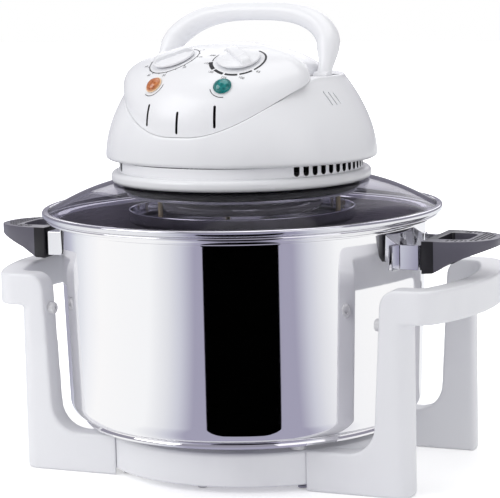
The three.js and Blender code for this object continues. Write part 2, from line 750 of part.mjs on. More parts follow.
/** A pot grip for the right side. */
function potGrip() {
  const root = bracketReach + gap;
  const tip = root + potGripLength;
  const side = [[root, potGripTop - potGripRoot], [root + potGripFlat, potGripTop - potGripRoot],
    [tip, potGripTop - potGripTip], [tip, potGripTop], [root, potGripTop]];
  const plan = [];
  for (let i = -2 * arcSteps; i <= 2 * arcSteps; i += 1) {
    const turn = Math.PI / 2 * i / (2 * arcSteps);
    const across = Math.sign(turn) * Math.abs(Math.sin(turn)) ** (1 / potGripPower);
    plan.push([root + potGripLength * Math.cos(turn) ** (1 / potGripPower), potGripHalfWidth * across]);
  }
  const holeEnd = root + fingerInset + fingerLength;
  const holeCorner = fingerHalfWidth / 2;
  const hole = [[root + fingerInset, -fingerHalfWidth],
    ...arc(holeEnd - holeCorner, holeCorner - fingerHalfWidth, holeCorner, -90, 0),
    ...arc(holeEnd - holeCorner, fingerHalfWidth - holeCorner, holeCorner, 0, 90),
    [root + fingerInset, fingerHalfWidth]];
  const body = solid(raisedY(side, -potGripHalfWidth, potGripHalfWidth))
    .intersect(solid(raised(plan, potGripTop - potGripRoot - overrun, potGripTop + overrun)));
  const bore = rodX(boltRadius + boreGap, root - overrun, root + boltLength + gap);
  return cut(body, solid(raised(hole, potGripTop - potGripRoot - overrun, potGripTop + overrun)),
    solid(at(bore, 0, 0, bracketTop - bracketHeight / 2)));
}

/** The bolt that holds a right grip on its bracket, with its head inside the strap. */
function gripBolt() {
  const headFace = bracketReach - bracketSheet - gap;
  const shank = rodX(boltRadius, headFace - boltHeadHeight / 2, bracketReach + gap + boltLength);
  return joined(solid(rodX(boltHead, headFace - boltHeadHeight, headFace)), solid(shank));
}

function potGroup() {
  const group = new THREE.Group();
  group.add(piece('pot_body', potBody(), steel));
  group.add(piece('pot_base_disc', potDisc(), steel));
  const bracket = potBracket();
  const grip = potGrip();
  const bolt = gripBolt().translate([0, 0, bracketTop - bracketHeight / 2]);
  for (const [name, flip] of [['right', false], ['left', true]]) {
    const sided = (body) => (flip ? body.mirror([1, 0, 0]) : body);
    group.add(piece(`${name}_handle_bracket`, sided(bracket), chrome));
    group.add(piece(`${name}_pot_grip`, sided(grip), bakelite));
    group.add(piece(`${name}_grip_bolt`, sided(bolt), darkSteel));
  }
  return group;
}

// Lid

function lidGlass() {
  const edge = bandRadius - bandSheet - gap;
  const edgeBottom = bandBottom + bandSheet;
  const slope = [];
  const slopeStart = bandRadius - bandLip - gap;
  for (let i = 0; i <= arcSteps; i += 1) {
    const share = i / arcSteps;
    const bow = glassBelly * Math.sin(Math.PI * share);
    slope.push([mix(slopeStart, glassSeatRadius, share),
      mix(edgeBottom, glassSeat - glassThickness, share) + bow]);
  }
  const top = slope.map(([r, z]) => [r, z + glassThickness]);
  return turned([[edge, edgeBottom], [edge, edgeBottom + glassThickness], ...top,
    [glassHole, glassSeat], [glassHole, glassSeat - glassThickness], ...slope.reverse()]);
}

function lidBand() {
  const lip = bandRadius - bandLip;
  const wall = bandRadius - bandSheet;
  const edge = bandSheet / 2;
  return turned([[lip, bandBottom], [bandRadius - edge, bandBottom], [bandRadius, bandBottom + edge],
    [bandRadius, bandTop - edge], [bandRadius - edge, bandTop], [lip, bandTop],
    [lip, bandTop - bandSheet + gap], [wall, bandTop - bandSheet + gap],
    [wall, bandBottom + bandSheet - gap], [lip, bandBottom + bandSheet - gap]]);
}

/** A slot cutter that runs out along X through the neck, round at its lower end. */
function slotCutter() {
  const half = slotWidth / 2;
  const low = flangeTop + slotLift + half;
  const outline = [...arc(0, low, half, 180, 360), [half, neckTop + overrun], [-half, neckTop + overrun]];
  const run = raisedY(outline, neckRadius - neckWall - overrun, neckRadius + overrun);
  return run.rotateZ(-Math.PI / 2);
}

function headBase() {
  const neckInner = neckRadius - neckWall;
  const spigotInner = spigotRadius - spigotWall;
  const body = turned([[shaftHole, flangeBottom], [spigotInner, flangeBottom], [spigotInner, spigotBottom],
    [spigotRadius, spigotBottom], [spigotRadius, flangeBottom], [flangeRadius - flangeEdge, flangeBottom],
    [flangeRadius, flangeBottom + flangeEdge], [flangeRadius, flangeTop - flangeEdge],
    [flangeRadius - flangeEdge, flangeTop], [neckRadius, flangeTop], [neckRadius, neckTop],
    [neckInner, neckTop], [neckInner, flangeBottom + baseFloor], [shaftHole, flangeBottom + baseFloor]]);
  const cuts = [];
  for (let i = 0; i < slotCount; i += 1) {
    for (const angle of [slotFirstRight + i * slotPitch, -slotFirstLeft - i * slotPitch]) {
      cuts.push(solid(slotCutter().rotateZ((angle - 90) * degree)));
    }
  }
  return cut(body, ...cuts);
}

function clampRing() {
  const inner = spigotRadius + gap;
  return turned([[inner, clampTop - clampHeight], [clampRadius, clampTop - clampHeight],
    [clampRadius, clampTop], [inner, clampTop]]);
}

/** Half width of the head shell's plan at a height. */
function shellWidth(z) {
  const share = Math.min(1, Math.max(0, (z - shellBottom) / (ledgeTop - shellBottom)));
  return shellHalfWidth * (1 - shellTaperShare * share ** shellTaperPower);
}

/** Outside radius of the head shell at an angle from the front and a height. */
function shellRadius(angle, z) {
  const share = Math.min(1, Math.max(0, (z - shellBottom) / (ledgeTop - shellBottom)));
  const width = shellWidth(z);
  const depth = width * (shellHalfDepth / shellHalfWidth + shellDepthShare * share);
  const across = Math.sin(angle * degree) / width;
  const along = Math.cos(angle * degree) / depth;
  return 1 / Math.hypot(across, along);
}

/** Height of the panel's lower edge at an angle from the front. */
function edgeHeight(angle) {
  return mix(panelLow, panelRest, ease(Math.abs(angle), edgeStartAngle, edgeEndAngle));
}

/** Outside radius of the panel at its lower edge. */
function edgeRadius(angle) {
  const turn = Math.abs(angle);
  const front = mix(panelFrontRadius, panelFlankRadius, ease(turn, 0, flankAngle));
  const waist = mix(front, panelWaistRadius, ease(turn, flankAngle, waistAngle));
  return mix(waist, panelRearRadius, ease(turn, rearStartAngle, rearEndAngle));
}

/** Outside height of the panel at an angle from the front and a radius. */
function panelHeight(angle, radius) {
  const low = edgeHeight(angle);
  const power = mix(panelFrontPower, panelRearPower, ease(Math.abs(angle), flankAngle, rearEndAngle));
  const share = Math.min(1, radius / edgeRadius(angle));
  return low + (panelTop - low) * (1 - share ** panelCrownPower) ** (1 / power);
}

/** Radii as shares of the edge radius at which the panel's profile has its points. */
const panelProfileShares = [0, 0.3, 0.52, 0.68, 0.8, 0.89, 0.95, 0.985, 1];

function controlPanelShell() {
  const shell = skin((angle) => {
    const edge = edgeRadius(angle);
    const outer = panelProfileShares.map((share) => [share * edge, panelHeight(angle, share * edge)]);
    const inside = (edge - shellWall) / edge;
    const low = edgeHeight(angle);
    const squeeze = (panelTop - shellWall - low) / (panelTop - low);
    const inner = outer.filter((point, i) => i % 2 === 0).reverse()
      .map(([r, z]) => [r * inside, low + (z - low) * squeeze]);
    return [...outer, ...inner];
  }, false);
  const cuts = [];
  for (const side of [-1, 1]) {
    cuts.push(moved(rod(spindleRadius + boreGap, -overrun - shellWall * 2, overrun * 2), dialFrame(side)));
    cuts.push(moved(rod(lampBodyRadius + boreGap, -overrun - shellWall * 2, overrun * 2), lampFrame(side)));
  }
  for (const turn of [-1, 0, 1]) {
    const low = panelLow + panelSlitLift + Math.abs(turn) * panelSlitStep;
    const slit = block(-panelSlitWidth / 2, panelSlitWidth / 2, -panelFrontRadius - overrun,
      -panelFrontRadius + 4 * shellWall + overrun, low, low + panelSlitHeight);
    cuts.push(solid(slit.rotateZ(turn * panelSlitAngle * degree)));
  }
  return cut(shell, ...cuts);
}

/** Frame on the panel's outer face at a place: Z along the face's normal, Y up the slope. */
function panelFrame(x, y) {
  const height = (px, py) => panelHeight(Math.atan2(px, -py) / degree, Math.hypot(px, py));
  const step = gap;
  const slopeX = (height(x + step, y) - height(x - step, y)) / (2 * step);
  const slopeY = (height(x, y + step) - height(x, y - step)) / (2 * step);
  const normal = new THREE.Vector3(-slopeX, -slopeY, 1).normalize();
  const up = new THREE.Vector3(0, 1, 0).cross(normal).cross(normal).negate().normalize();
  const across = up.clone().cross(normal);
  return new THREE.Matrix4().makeBasis(across, up, normal).setPosition(x, y, height(x, y));
}

function dialFrame(side) {
  return panelFrame(side * dialSide, -dialFront);
}

function lampFrame(side) {
  return panelFrame(side * lampSide, -lampFront);
}

/** All that lies inside the middle of the shell's wall, between two heights. */
function insideShell(low, high) {
  return skin((angle) => {
    const rows = [];
    for (let i = 0; i <= shellSteps / 2; i += 1) {
      const z = mix(low, high, 2 * i / shellSteps);
      rows.push([shellRadius(angle, z) - shellWall / 2, z]);
    }
    return [[0, low], ...rows, [0, high]];
  }, false);
}

function headShell() {
  const shell = skin((angle) => {
    const top = edgeHeight(angle) - gap;
    const edge = shellRadius(angle, top);
    const inset = Math.min(edge - shellWall, edgeRadius(angle) - ledgeLip);
    const outer = [];
    const inner = [];
    for (let i = 0; i <= shellSteps; i += 1) {
      const z = mix(shellBottom + shellRound, top, i / shellSteps);
      const inside = mix(shellBottom + shellWall, top - shellWall, i / shellSteps);
      outer.push([shellRadius(angle, z), z]);
      if (i % 2 === 0) inner.push([shellRadius(angle, z) - shellWall, inside]);
    }
    const foot = shellRadius(angle, shellBottom + shellRound);
    const seat = neckRadius - neckWall;
    return [[seat, shellBottom], [foot - shellRound, shellBottom],
      [foot - shellRound / 4, shellBottom + shellRound / 4], ...outer, [inset, top],
      [inset, top - shellWall], ...inner.reverse(), [seat, shellBottom + shellWall]];
  }, true);
  const parts = [shell];
  const cuts = [];
  for (const side of [-1, 1]) {
    const sided = (x0, x1, y0, y1, z0, z1) => solid(side > 0 ? block(x0, x1, y0, y1, z0, z1)
      : block(-x1, -x0, y0, y1, z0, z1));
    const lugTop = ledgeTop - shellWall / 2;
    const lugs = sided(lugInner, shellHalfWidth, -lugHalf, lugHalf, pivotHeight - lugDepth, lugTop);
    parts.push(lugs.intersect(insideShell(pivotHeight - lugDepth, lugTop)));
    const pocketFloor = pivotHeight - pocketDepth;
    const pocket = sided(pocketIn, pocketOut, -pocketFront, pocketRear, pocketFloor, panelTop);
    cuts.push(pocket.intersect(insideShell(pocketFloor, panelTop)));
    const pinHole = rodX(pinRadius + boreGap, pinInnerEnd - gap, pinOuterEnd + gap);
    cuts.push(solid(at(side > 0 ? pinHole : pinHole.rotateZ(Math.PI), 0, 0, pivotHeight)));
  }
  const shelfTop = switchTop - switchHigh - gap;
  const shelfOuter = shellRadius(90, shelfTop) - shellWall / 2;
  parts.push(solid(block(pivotSide - switchLong / 2, shelfOuter, -switchWide, switchWide,
    shelfTop - shelfHeight, shelfTop)));
  const gland = rod(glandRadius + boreGap, shellHalfDepth - 4 * overrun, shellHalfDepth + overrun);
  cuts.push(solid(at(gland.rotateX(-Math.PI / 2), 0, 0, glandHeight)));
  return cut(joined(...parts), ...cuts);
}

// Controls

function knob() {
  const body = turned([[0, gap], [knobRadius, gap], [knobRadius, knobSkirt], [knobShoulder, knobHeight],
    [0, knobHeight]], roundSteps / 2);
  const half = knobRadius - gap;
  const drop = knobBarHeight / 4;
  const bar = raisedY([[-half, knobSkirt / 2], [half, knobSkirt / 2], [half, knobSkirt],
    [half - drop, knobBarHeight - drop], [half - 3 * drop, knobBarHeight], [3 * drop - half, knobBarHeight],
    [drop - half, knobBarHeight - drop], [-half, knobSkirt]], -knobBarWidth / 2, knobBarWidth / 2);
  return joined(body, solid(bar), solid(rod(spindleRadius, -spindleLength, knobSkirt)));
}

function controlBody() {
  const box = block(-controlLong / 2, controlLong / 2, -controlWide / 2, controlWide / 2,
    -controlDepth - controlHigh, -controlDepth);
  const bush = rod(bushRadius, -controlDepth - overrun, -bushTop);
  const bore = rod(spindleRadius + boreGap, -spindleLength - gap, overrun);
  return cut(joined(solid(box), solid(bush)), solid(bore));
}

function lampLens() {
  const lens = turned([[0, gap], [lampRadius, gap], [lampRadius, lampFlange],
    ...arc(0, lampFlange, lampRadius - lampFlange, 0, 90, 4)
      .map(([r, z]) => [r, lampFlange + (z - lampFlange) * lampDome / lampRadius])], smallSteps);
  return joined(lens, solid(rod(lampBodyRadius, -lampBodyLength, lampFlange)));
}

// Carry handle

/** Centre and radius of the arch at a share of its length from the right pivot to the left one. */
function archAt(share) {
  const turn = Math.PI * share;
  const side = Math.cos(turn);
  const rise = Math.sin(turn);
  const wide = Math.abs(side) ** archWidthPower * handleBelly;
  const foot = (pivotSide - handleBelly) * ease(Math.abs(side), archStraightShare, 1);
  const across = Math.sign(side) * (wide + foot);
  const up = handleApex * Math.abs(rise) ** archRisePower;
  const arm = ease(Math.abs(side), 0, archStraightShare);
  const end = ease(up, handleNeckRise, handleBellyRise);
  return { across, up, radius: mix(handleRadiusEnd, mix(handleRadiusApex, handleRadiusArm, arm), end) };
}

/** The arch as a closed tube of changing thickness, upright over the pivots. */
function handleArch() {
  const rings = [];
  for (let i = 0; i <= handleSteps; i += 1) {
    const here = archAt(i / handleSteps);
    const before = archAt(Math.max(0, i - 1) / handleSteps);
    const after = archAt(Math.min(handleSteps, i + 1) / handleSteps);
    const run = new THREE.Vector2(after.across - before.across, after.up - before.up).normalize();
    const ring = [];
    for (let j = 0; j < handleSides; j += 1) {
      const turn = 2 * Math.PI * j / handleSides;
      const out = here.radius * Math.cos(turn);
      ring.push([here.across + out * run.y, here.radius * Math.sin(turn), here.up - out * run.x]);
    }
    rings.push(ring);
  }
  const positions = [];
  for (let i = 0; i < handleSteps; i += 1) {
    for (let j = 0; j < handleSides; j += 1) {
      const k = (j + 1) % handleSides;
      positions.push(...rings[i][j], ...rings[i][k], ...rings[i + 1][k]);
      positions.push(...rings[i][j], ...rings[i + 1][k], ...rings[i + 1][j]);
    }
  }
  for (let j = 1; j < handleSides - 1; j += 1) {
    positions.push(...rings[0][0], ...rings[0][j + 1], ...rings[0][j]);
    positions.push(...rings[handleSteps][0], ...rings[handleSteps][j], ...rings[handleSteps][j + 1]);
  }
  const geometry = new THREE.BufferGeometry();
  geometry.setAttribute('position', new THREE.BufferAttribute(Float32Array.from(positions), 3));
  return solid(geometry);
}

function carryHandle() {
  const boss = rodX(bossRadius, pivotSide - bossHalf, pivotSide + bossHalf, 2 * smallSteps);
  const bore = rodX(pinRadius + boreGap, pivotSide - bossHalf - overrun, pivotSide + bossHalf + overrun);
  const leftBoss = boss.clone().rotateZ(Math.PI);
  const leftBore = bore.clone().rotateZ(Math.PI);
  const camTurn = (camAngle + handleLean) * degree;
  const cam = rodX(camRadius, pivotSide - bossHalf / 2, pivotSide + bossHalf / 2, 2 * smallSteps);
  at(cam, 0, camThrow * Math.sin(camTurn), -camThrow * Math.cos(camTurn));
  return cut(joined(handleArch(), solid(boss), solid(leftBoss), solid(cam)), solid(bore), solid(leftBore));
}

// Inside the head

function heatShield() {
  const under = shieldTop - shieldSheet;
  const inner = shieldRadius - shieldSheet;
  return turned([[shaftHole, shieldTop], [shieldRadius, shieldTop], [shieldRadius, under - shieldRim],
    [inner, under - shieldRim], [inner, under], [shaftHole, under]], hiddenSteps);
}

function halogenTube() {
  const ring = turned(arc(tubeCircle, tubeHeight, tubeRadius, 0, 360, tubeSides).slice(1));
  const opening = block(-tubeOpening, tubeOpening, 0, tubeCircle + 2 * tubeRadius,
    tubeHeight - 2 * tubeRadius, tubeHeight + 2 * tubeRadius);
  return cut(ring, solid(opening));
}

/** A ceramic block under the shield that takes an end of the tube; side is 1 for the right one. */
function tubeClip(side) {
  const middle = Math.sqrt(tubeCircle ** 2 - tubeOpening ** 2);
  const clip = solid(block(clipSpace, tubeOpening - gap, middle - clipWidth / 2, middle + clipWidth / 2,
    tubeHeight - clipDepth, shieldTop - shieldSheet - gap));
  return side > 0 ? clip : clip.mirror([1, 0, 0]);
}

function heaterGuard() {
  const inner = guardRadius - guardSheet;
  const floor = guardTop - guardHeight;
  const turnRadius = guardRadius - guardRound;
  const bowl = turned([[0, floor], ...arc(turnRadius, floor + guardRound, guardRound, -90, 0, 2),
    [guardRadius, guardTop], [inner, guardTop],
    ...arc(turnRadius, floor + guardRound, guardRound - guardSheet, 0, -90, 1),
    [0, floor + guardSheet]]);
  const cuts = [];
  for (let i = 0; i < guardSlots; i += 1) {
    const slot = block(guardSlotInner, guardSlotOuter, -guardSlotWidth / 2, guardSlotWidth / 2,
      floor - overrun, floor + guardSheet + overrun);
    cuts.push(solid(slot.rotateZ(2 * Math.PI * i / guardSlots)));
  }
  return cut(bowl, ...cuts);
}

/** A fan about Z: a hub on the shaft, a disc and flat upright blades. */
function fanWheel(radius, hub, blades, low, high) {
  const bore = shaftRadius + boreGap / 2;
  const half = bladeSheet / 2;
  const disc = solid(rod(radius, high - bladeSheet, high, roundSteps / 2));
  const parts = [solid(rod(hub, low, high)), disc];
  for (let i = 0; i < blades; i += 1) {
    const blade = block(hub / 2, radius - gap, -half, half, low, high - half);
    parts.push(solid(blade.rotateZ(2 * Math.PI * i / blades)));
  }
  return cut(joined(...parts), solid(rod(bore, low - overrun, high + overrun)));
}

function motorBracket() {
  const top = motorPlateTop;
  const half = motorPlateLong / 2;
  const wide = motorPlateWide / 2;
  const foot = baseTop;
  const plate = solid(block(-half, half, -wide, wide, top - motorPlate, top));
  const parts = [plate];
  const leg = joined(solid(block(half - motorPlate, half, -wide, wide, foot, top)),
    solid(block(half - motorPlate, half + wide, -wide, wide, foot, foot + motorPlate)));
  parts.push(leg, leg.mirror([1, 0, 0]));
  return cut(joined(...parts), solid(rod(shaftRadius + boreGap, foot, top + overrun)));
}

function motorCore() {
  const low = coreBottom;
  const high = low + coreHeight;
  const front = solid(block(-coreHalf, coreHalf, -coreDepth, coreDepth, low, high));
  const back = coreReach - coreArm + gap;
  const arms = [-1, 1].map((side) => {
    const [x0, x1] = side > 0 ? [coreHalf - coreArm, coreHalf] : [-coreHalf, coreArm - coreHalf];
    return solid(block(x0, x1, coreDepth - coreArm, coreReach, low, high));
  });
  const bar = solid(block(-coreHalf, coreHalf, back, coreReach, low, high));
  const bore = rod(rotorBore, low - overrun, high + overrun, 2 * smallSteps);
  return cut(joined(front, ...arms, bar), solid(bore));
}

function motorCoil() {
  const low = coreBottom;
  const y0 = coreReach - coreArm + gap;
  const outer = block(-coilLength / 2, coilLength / 2, y0 - coilBuild, coreReach + coilBuild,
    low - coilBuild, low + coreHeight + coilBuild);
  const inner = block(-coilLength, coilLength, y0 - gap, coreReach + gap, low - gap, low + coreHeight + gap);
  return cut(solid(outer), solid(inner));
}

function motorShaft() {
  return solid(rod(shaftRadius, shaftBottom, shaftTop));
}

function rotor() {
  const low = coreBottom + gap;
  const body = rod(rotorRadius, low, low + coreHeight - 2 * gap, 2 * smallSteps);
  return cut(solid(body), solid(rod(shaftRadius + boreGap / 2, low - overrun, low + coreHeight + overrun)));
}

function safetySwitch() {
  const body = block(pivotSide - switchLong / 2, pivotSide + switchLong / 2, -switchWide / 2, switchWide / 2,
    switchTop - switchHigh, switchTop);
  const bore = rod(plungerRadius + boreGap, plungerTop - plungerLength - plungerTravel, switchTop + overrun);
  return cut(solid(body), solid(at(bore, pivotSide, 0, 0)));
}

function switchPlunger() {
  return solid(at(rod(plungerRadius, plungerTop - plungerLength, plungerTop), pivotSide, 0, 0));
}

function cordGland() {
  const wall = shellRadius(180, glandHeight - glandFlange);
  const out = wall + glandOutside;
  const inside = wall - shellWall - glandInside;
  const body = turned([[glandBore, inside], [glandRadius, inside], [glandRadius, wall + gap],
    [glandFlange, wall + gap], [glandFlange - gap, out], [glandBore, out]], smallSteps);
  return body.rotate([-90, 0, 0]).translate([0, 0, glandHeight]);
}

function headGroup() {
  const group = new THREE.Group();
  group.rotation.z = headTurn * degree;
  group.add(piece('head_base', headBase(), lidWhite));
  group.add(piece('clamp_ring', clampRing(), whitePlastic));
  group.add(piece('head_shell', headShell(), lidWhite));
  group.add(piece('control_panel', controlPanelShell(), lidWhite));
  group.add(piece('heat_shield', heatShield(), darkSteel));
  group.add(piece('halogen_tube', halogenTube(), quartz));
  group.add(piece('right_tube_clip', tubeClip(1), ceramic));
  group.add(piece('left_tube_clip', tubeClip(-1), ceramic));
  group.add(piece('heater_guard', heaterGuard(), chrome));
  for (let i = 0; i < postCount; i += 1) {
    const turn = (postFirstAngle + 360 * i / postCount) * degree;
    const low = guardTop - guardHeight + guardSheet + gap;
    const rise = rod(postRadius, low, shieldTop - shieldSheet - gap);
    const post = piece(`guard_post_${i + 1}`, solid(rise), brass);
    post.position.set(postCircle * Math.cos(turn), postCircle * Math.sin(turn), 0);
    group.add(post);
  }
  group.add(piece('motor_bracket', motorBracket(), steel));
  group.add(piece('motor_core', motorCore(), darkSteel));
  group.add(piece('motor_coil', motorCoil(), copper));
  group.add(piece('motor_rotor', rotor(), darkSteel));
  group.add(piece('motor_shaft', motorShaft(), steel));
  group.add(piece('cooling_fan', fanWheel(coolFanRadius, airFanHub, coolFanBlades, coolFanBottom,
    coolFanBottom + coolFanHeight), blackPlastic));
  group.add(piece('convection_fan', fanWheel(airFanRadius, airFanHub, airFanBlades, airFanTop - airFanHeight,
    airFanTop), steel));
  for (const [name, side, turn] of [['timer', -1, knobTimerTurn], ['thermostat', 1, knobHeatTurn]]) {
    const frame = dialFrame(side);
    const dial = new THREE.Group();
    dial.applyMatrix4(frame);
    dial.add(piece(`${name}_body`, controlBody(), blackPlastic));
    const knobMesh = piece(`${name}_knob`, knob(), lidWhite);
    knobMesh.rotation.z = turn * degree;
    dial.add(knobMesh);
    group.add(dial);
  }
  for (const [name, side, finish] of [['power_lamp', -1, amberLens], ['heat_lamp', 1, greenLens]]) {
    const lamp = piece(name, lampLens(), finish);
    lamp.applyMatrix4(lampFrame(side));
    group.add(lamp);
  }
  const arch = new THREE.Group();
  arch.position.z = pivotHeight;
  arch.rotation.x = -handleLean * degree;
  arch.add(piece('carry_handle', carryHandle(), lidWhite));
  group.add(arch);
  for (const [name, side] of [['right', 1], ['left', -1]]) {
    const pin = piece(`${name}_pivot_pin`, solid(rodX(pinRadius, pinInnerEnd, pinOuterEnd)), steel);
    pin.position.z = pivotHeight;
    if (side < 0) pin.rotation.z = Math.PI;
    group.add(pin);
  }
  group.add(piece('safety_switch', safetySwitch(), blackPlastic));
  group.add(piece('switch_plunger', switchPlunger(), rubber));
  group.add(piece('cord_gland', cordGland(), blackPlastic));
  return group;
}

const halogenOven = new THREE.Group();
halogenOven.add(standGroup());
halogenOven.add(potGroup());
halogenOven.add(piece('glass_lid', lidGlass(), glass));
halogenOven.add(piece('lid_rim_band', lidBand(), steel));
halogenOven.add(headGroup());

export default halogenOven;
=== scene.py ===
"""Looks of a halogen oven: mirror pot in a white stand under a glass lid with a white heating head.

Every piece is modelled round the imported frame, in metres, +Z up, with the front towards -Y. The sizes
in the parts' classes are in mm and their angles in degrees.
"""

from __future__ import annotations

import logging
from dataclasses import dataclass
from enum import Enum
from math import asin, atan2, copysign, cos, degrees, hypot, pi, radians, sin, sqrt, tan
from typing import Callable, ClassVar, Sequence

import bpy
from mathutils import Matrix, Vector


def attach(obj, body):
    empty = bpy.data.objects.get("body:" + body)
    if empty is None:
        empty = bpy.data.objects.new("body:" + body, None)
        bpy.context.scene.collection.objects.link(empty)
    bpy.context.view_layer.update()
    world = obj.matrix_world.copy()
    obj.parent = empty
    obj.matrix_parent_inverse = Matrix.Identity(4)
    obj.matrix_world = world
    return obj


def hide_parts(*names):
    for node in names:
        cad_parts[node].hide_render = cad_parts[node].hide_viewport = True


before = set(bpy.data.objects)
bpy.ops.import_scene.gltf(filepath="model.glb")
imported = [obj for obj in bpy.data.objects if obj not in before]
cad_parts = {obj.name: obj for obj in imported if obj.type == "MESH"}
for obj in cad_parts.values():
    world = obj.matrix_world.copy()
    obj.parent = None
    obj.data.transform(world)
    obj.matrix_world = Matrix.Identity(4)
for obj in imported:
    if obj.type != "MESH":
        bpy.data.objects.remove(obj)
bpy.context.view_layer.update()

log = logging.getLogger("oven")
MM = 0.001
MERGE = 0.00001  # vertices closer than this become one
FULL_TURN = 2 * pi
Point2 = tuple[float, float]
Point3 = tuple[float, float, float]
Outline = tuple[Point2, ...]
Piece = bpy.types.Object
Face = bpy.types.MeshPolygon
Material = bpy.types.Material
Tree = bpy.types.NodeTree
Node = bpy.types.Node
Socket = bpy.types.NodeSocket


class Body(Enum):
    """The moving bodies of the frame that pieces ride on."""

    STAND = "stand"
    POT = "pot"
    LID = "lid"
    FAN = "fan"
    TIMER = "timer_dial"
    THERMOSTAT = "thermostat_dial"
    HANDLE = "handle"
    PLUNGER = "plunger"


class Side(Enum):
    """Left or right of the oven, as the sign of X."""

    LEFT = -1
    RIGHT = 1

    @property
    def label(self) -> str:
        """The side's name in node names."""
        return self.name.lower()


ENDS = (("front", -1), ("rear", 1))  # names of the oven's two ends, with the sign of Y


# Small tools for modelling by operators


def mix(low: float, high: float, share: float) -> float:
    """Value between two others at a share of the way."""
    return low + (high - low) * share


def ease(value: float, low: float, high: float) -> float:
    """Smooth step from 0 to 1 as a value goes from low to high."""
    share = min(1.0, max(0.0, (value - low) / (high - low)))
    return share * share * (3 - 2 * share)


def arc(x: float, y: float, radius: float, start: float, end: float, steps: int = 8) -> list[Point2]:
    """Points along an arc.

    Args:
        x: First coordinate of the centre.
        y: Second coordinate of the centre.
        radius: Radius of the arc.
        start: First angle in degrees.
        end: Last angle in degrees.
        steps: Number of stretches.

    Returns:
        The points from start to end, both included.
    """
    turns = [radians(mix(start, end, i / steps)) for i in range(steps + 1)]
    return [(x + radius * cos(turn), y + radius * sin(turn)) for turn in turns]


def rest() -> None:
    """Leaves edit mode and deselects everything."""
    if bpy.context.object and bpy.context.object.mode != "OBJECT":
        bpy.ops.object.mode_set(mode="OBJECT")
    bpy.ops.object.select_all(action="DESELECT")


def pick(piece: Piece) -> None:
    """Selects one piece alone and makes it active."""
    rest()
    piece.select_set(True)
    bpy.context.view_layer.objects.active = piece


def edit(piece: Piece) -> None:
    """Opens one piece in edit mode with all of it selected."""
    pick(piece)
    bpy.ops.object.mode_set(mode="EDIT")
    bpy.ops.mesh.select_mode(type="VERT")
    bpy.ops.mesh.select_all(action="SELECT")


def tidy() -> None:
    """Merges doubles and turns faces out in edit mode, then goes back to object mode."""
    bpy.ops.mesh.select_all(action="SELECT")
    bpy.ops.mesh.remove_doubles(threshold=MERGE)
    bpy.ops.mesh.dissolve_degenerate(threshold=MERGE)
    bpy.ops.mesh.normals_make_consistent(inside=False)
    bpy.ops.object.mode_set(mode="OBJECT")


def trace(name: str, points: Sequence[Point3]) -> Piece:
    """A chain of edges drawn from one vertex by extruding it from point to point.

    Args:
        name: Name of the new object.
        points: Corners of the chain.

    Returns:
        The object, left in edit mode with its last vertex selected.
    """
    rest()
    bpy.ops.mesh.primitive_plane_add(size=2 * MM, location=(0, 0, 0))
    piece = bpy.context.object
    piece.name = piece.data.name = name
    edit(piece)
    bpy.ops.mesh.merge(type="CENTER")
    bpy.ops.transform.translate(value=points[0])
    here = Vector(points[0])
    for point in points[1:]:
        step = Vector(point) - here
        bpy.ops.mesh.extrude_region_move(TRANSFORM_OT_translate={"value": step})
        here = Vector(point)
    return piece


def turned(name: str, profile: Sequence[Point2], steps: int = 96, angle: float = FULL_TURN) -> Piece:
    """A piece turned about Z.

    Args:
        name: Name of the piece.
        profile: Radius and height of each corner, in mm; a loop unless it starts on the axis.
        steps: Facets round the axis.
        angle: How far it is spun.

    Returns:
        The turned piece.
    """
    loop = [*profile, profile[0]] if profile[0][0] else profile
    piece = trace(name, [(r * MM, 0, z * MM) for r, z in loop])
    bpy.ops.mesh.select_all(action="SELECT")
    bpy.ops.mesh.spin(steps=steps, angle=angle, center=(0, 0, 0), axis=(0, 0, 1))
    tidy()
    return piece


def rod(name: str, radius: float, span: Point2, steps: int) -> Piece:
    """A plain round rod on Z between two heights, in mm."""
    low, high = span
    return turned(name, [(0, low), (radius, low), (radius, high), (0, high)], steps)


def flat(name: str, corners: Sequence[Point3]) -> Piece:
    """A flat face between corners, left in edit mode."""
    piece = trace(name, corners)
    bpy.ops.mesh.select_all(action="SELECT")
    bpy.ops.mesh.edge_face_add()
    return piece


def prism(name: str, outline: Sequence[Point2], low: float, high: float) -> Piece:
    """An outline in X and Y, in mm, raised along Z from low to high."""
    piece = flat(name, [(x * MM, y * MM, low * MM) for x, y in outline])
    bpy.ops.mesh.extrude_region_move(TRANSFORM_OT_translate={"value": (0, 0, (high - low) * MM)})
    tidy()
    return piece


def prism_y(name: str, outline: Sequence[Point2], low: float, high: float) -> Piece:
    """An outline in X and Z, in mm, raised along Y from low to high."""
    piece = prism(name, outline, -high, -low)
    move(piece, Matrix.Rotation(pi / 2, 4, "X"))
    return piece


def skin(name: str, columns: int, profile: Callable[[float], list[Point2]], closed: bool) -> Piece:
    """A grid wrapped round Z, whose profile changes with the angle from the front.

    Args:
        name: Name of the piece.
        columns: Facets round the axis.
        profile: Gives the radius and height of each row, in mm, at an angle in degrees.
        closed: Whether the profile is a loop off the axis.

    Returns:
        The wrapped piece.
    """
    shapes = [profile((360 * i / columns + 180) % 360 - 180) for i in range(columns)]
    rows = len(shapes[0])
    high = rows if closed else rows - 1
    rest()
    bpy.ops.mesh.primitive_grid_add(x_subdivisions=columns, y_subdivisions=high, size=1)
    piece = bpy.context.object
    piece.name = piece.data.name = name
    for j in range(high + 1):
        for i in range(columns + 1):
            radius, height = shapes[i % columns][j % rows]
            turn = radians(360 * i / columns - 90)
            spot = (radius * cos(turn) * MM, radius * sin(turn) * MM, height * MM)
            piece.data.vertices[j * (columns + 1) + i].co = spot
    edit(piece)
    tidy()
    return piece


